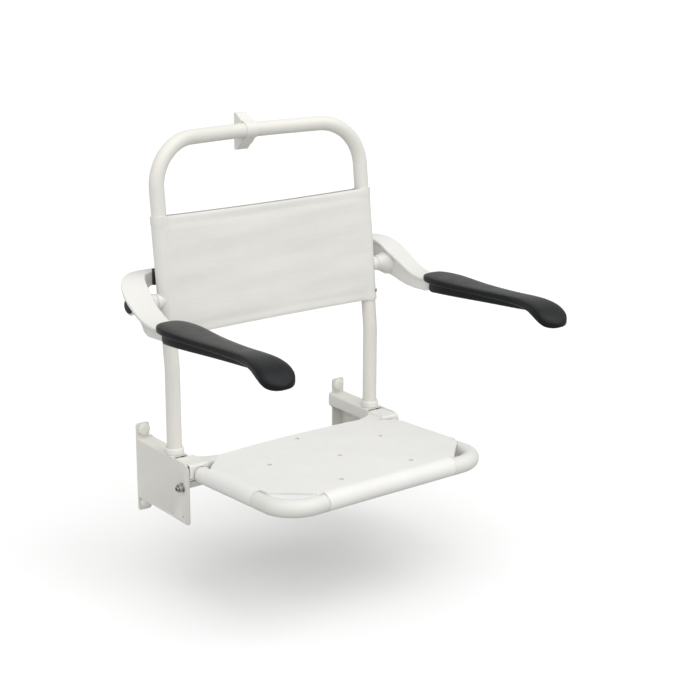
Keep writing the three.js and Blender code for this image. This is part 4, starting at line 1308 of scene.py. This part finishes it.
CARRIED = {
    "bearing_plastic": ["arm_bush", "hinge_bush"],
    "stainless": [
        "upper_wall_screw", "lower_wall_screw", "tube_foot_screw", "hinge_pin", "panel_screw",
        "arm_pivot_bolt", "arm_pivot_insert", "arm_pad_screw",
    ],
}
for look, names in CARRIED.items():
    for part in names:
        for side in ("right", "left"):
            paint(frame["nodes"][f"{side}_{part}"], look)
paint(frame["nodes"]["top_support_screw"], "stainless")

# ------------------------------------------------------------------ studio


def floor_material():
    """A pale floor that keeps most of its own light from bouncing up under the chair."""
    made, tree, shader, where = start_material("pale_floor")
    patches(tree, shader, where, 1.5, 2.0, (0.955, 0.955, 0.955), (0.945, 0.945, 0.945))
    shader.inputs["Roughness"].default_value = 1.0
    shader.inputs["Specular IOR Level"].default_value = 0.0
    dim = node(tree, "ShaderNodeBsdfDiffuse", Color=(0.45, 0.45, 0.445, 1))
    seen = tree.nodes.new("ShaderNodeLightPath").outputs["Is Camera Ray"]
    choose = tree.nodes.new("ShaderNodeMixShader")
    tree.links.new(seen, choose.inputs["Fac"])
    tree.links.new(dim.outputs[0], choose.inputs[1])
    tree.links.new(shader.outputs[0], choose.inputs[2])
    tree.links.new(choose.outputs[0], tree.nodes["Material Output"].inputs["Surface"])
    return made


FLOOR_Z = -215
FLOOR_REACH = 90000
floor = new_object(
    "floor",
    [(x * FLOOR_REACH, y * FLOOR_REACH, FLOOR_Z) for x, y in ((-1, -1), (1, -1), (1, 1), (-1, 1))],
    [(0, 1, 2, 3)],
)
floor.data.materials.append(floor_material())

world = bpy.data.worlds.new("studio")
bpy.context.scene.world = world
world.use_nodes = True
sky = world.node_tree
background = sky.nodes["Background"]
background.inputs["Color"].default_value = (1.0, 1.0, 0.995, 1)
direction = sky.nodes.new("ShaderNodeTexCoord").outputs["Generated"]
towards = node(sky, "ShaderNodeVectorMath", _operation="DOT_PRODUCT")
towards.inputs[1].default_value = (0.05, -0.45, 0.89)
sky.links.new(direction, towards.inputs[0])
sky.links.new(
    spread(sky, towards.outputs["Value"], 0.42, 0.84, -0.75, 0.85),
    background.inputs["Strength"],
)


def soft_light(name, towards_light, strength, spread_degrees):
    lamp = bpy.data.lights.new(name, "SUN")
    lamp.energy = strength
    lamp.angle = math.radians(spread_degrees)
    holder = bpy.data.objects.new(name, lamp)
    holder.rotation_mode = "QUATERNION"
    holder.rotation_quaternion = Vector(towards_light).to_track_quat("Z", "Y")
    bpy.context.scene.collection.objects.link(holder)


soft_light("key_light", (0.30, -0.48, 0.83), 0.95, 60)
soft_light("fill_light", (-0.80, -0.52, 0.30), 1.1, 100)

bpy.context.scene.view_settings.view_transform = "Standard"

camera_data = bpy.data.cameras.new("camera")
camera_data.lens = 82.18
camera_data.sensor_width = 36
camera_data.clip_end = 60
camera = bpy.data.objects.new("camera", camera_data)
bpy.context.scene.collection.objects.link(camera)
AZIMUTH, ELEVATION, ROLL = map(math.radians, (-37.347, 16.394, 0.21))
outward = Vector(
    (
        math.sin(AZIMUTH) * math.cos(ELEVATION),
        -math.cos(AZIMUTH) * math.cos(ELEVATION),
        math.sin(ELEVATION),
    )
)
rightward = Vector((math.cos(AZIMUTH), math.sin(AZIMUTH), 0))
upward = outward.cross(rightward)
turn = Matrix.Rotation(ROLL, 3, "Z")
axes = Matrix((rightward, upward, outward)).transposed() @ turn
camera.matrix_world = Matrix.Translation((-1.4765, -2.2269, 0.9169)) @ axes.to_4x4()
bpy.context.scene.camera = camera
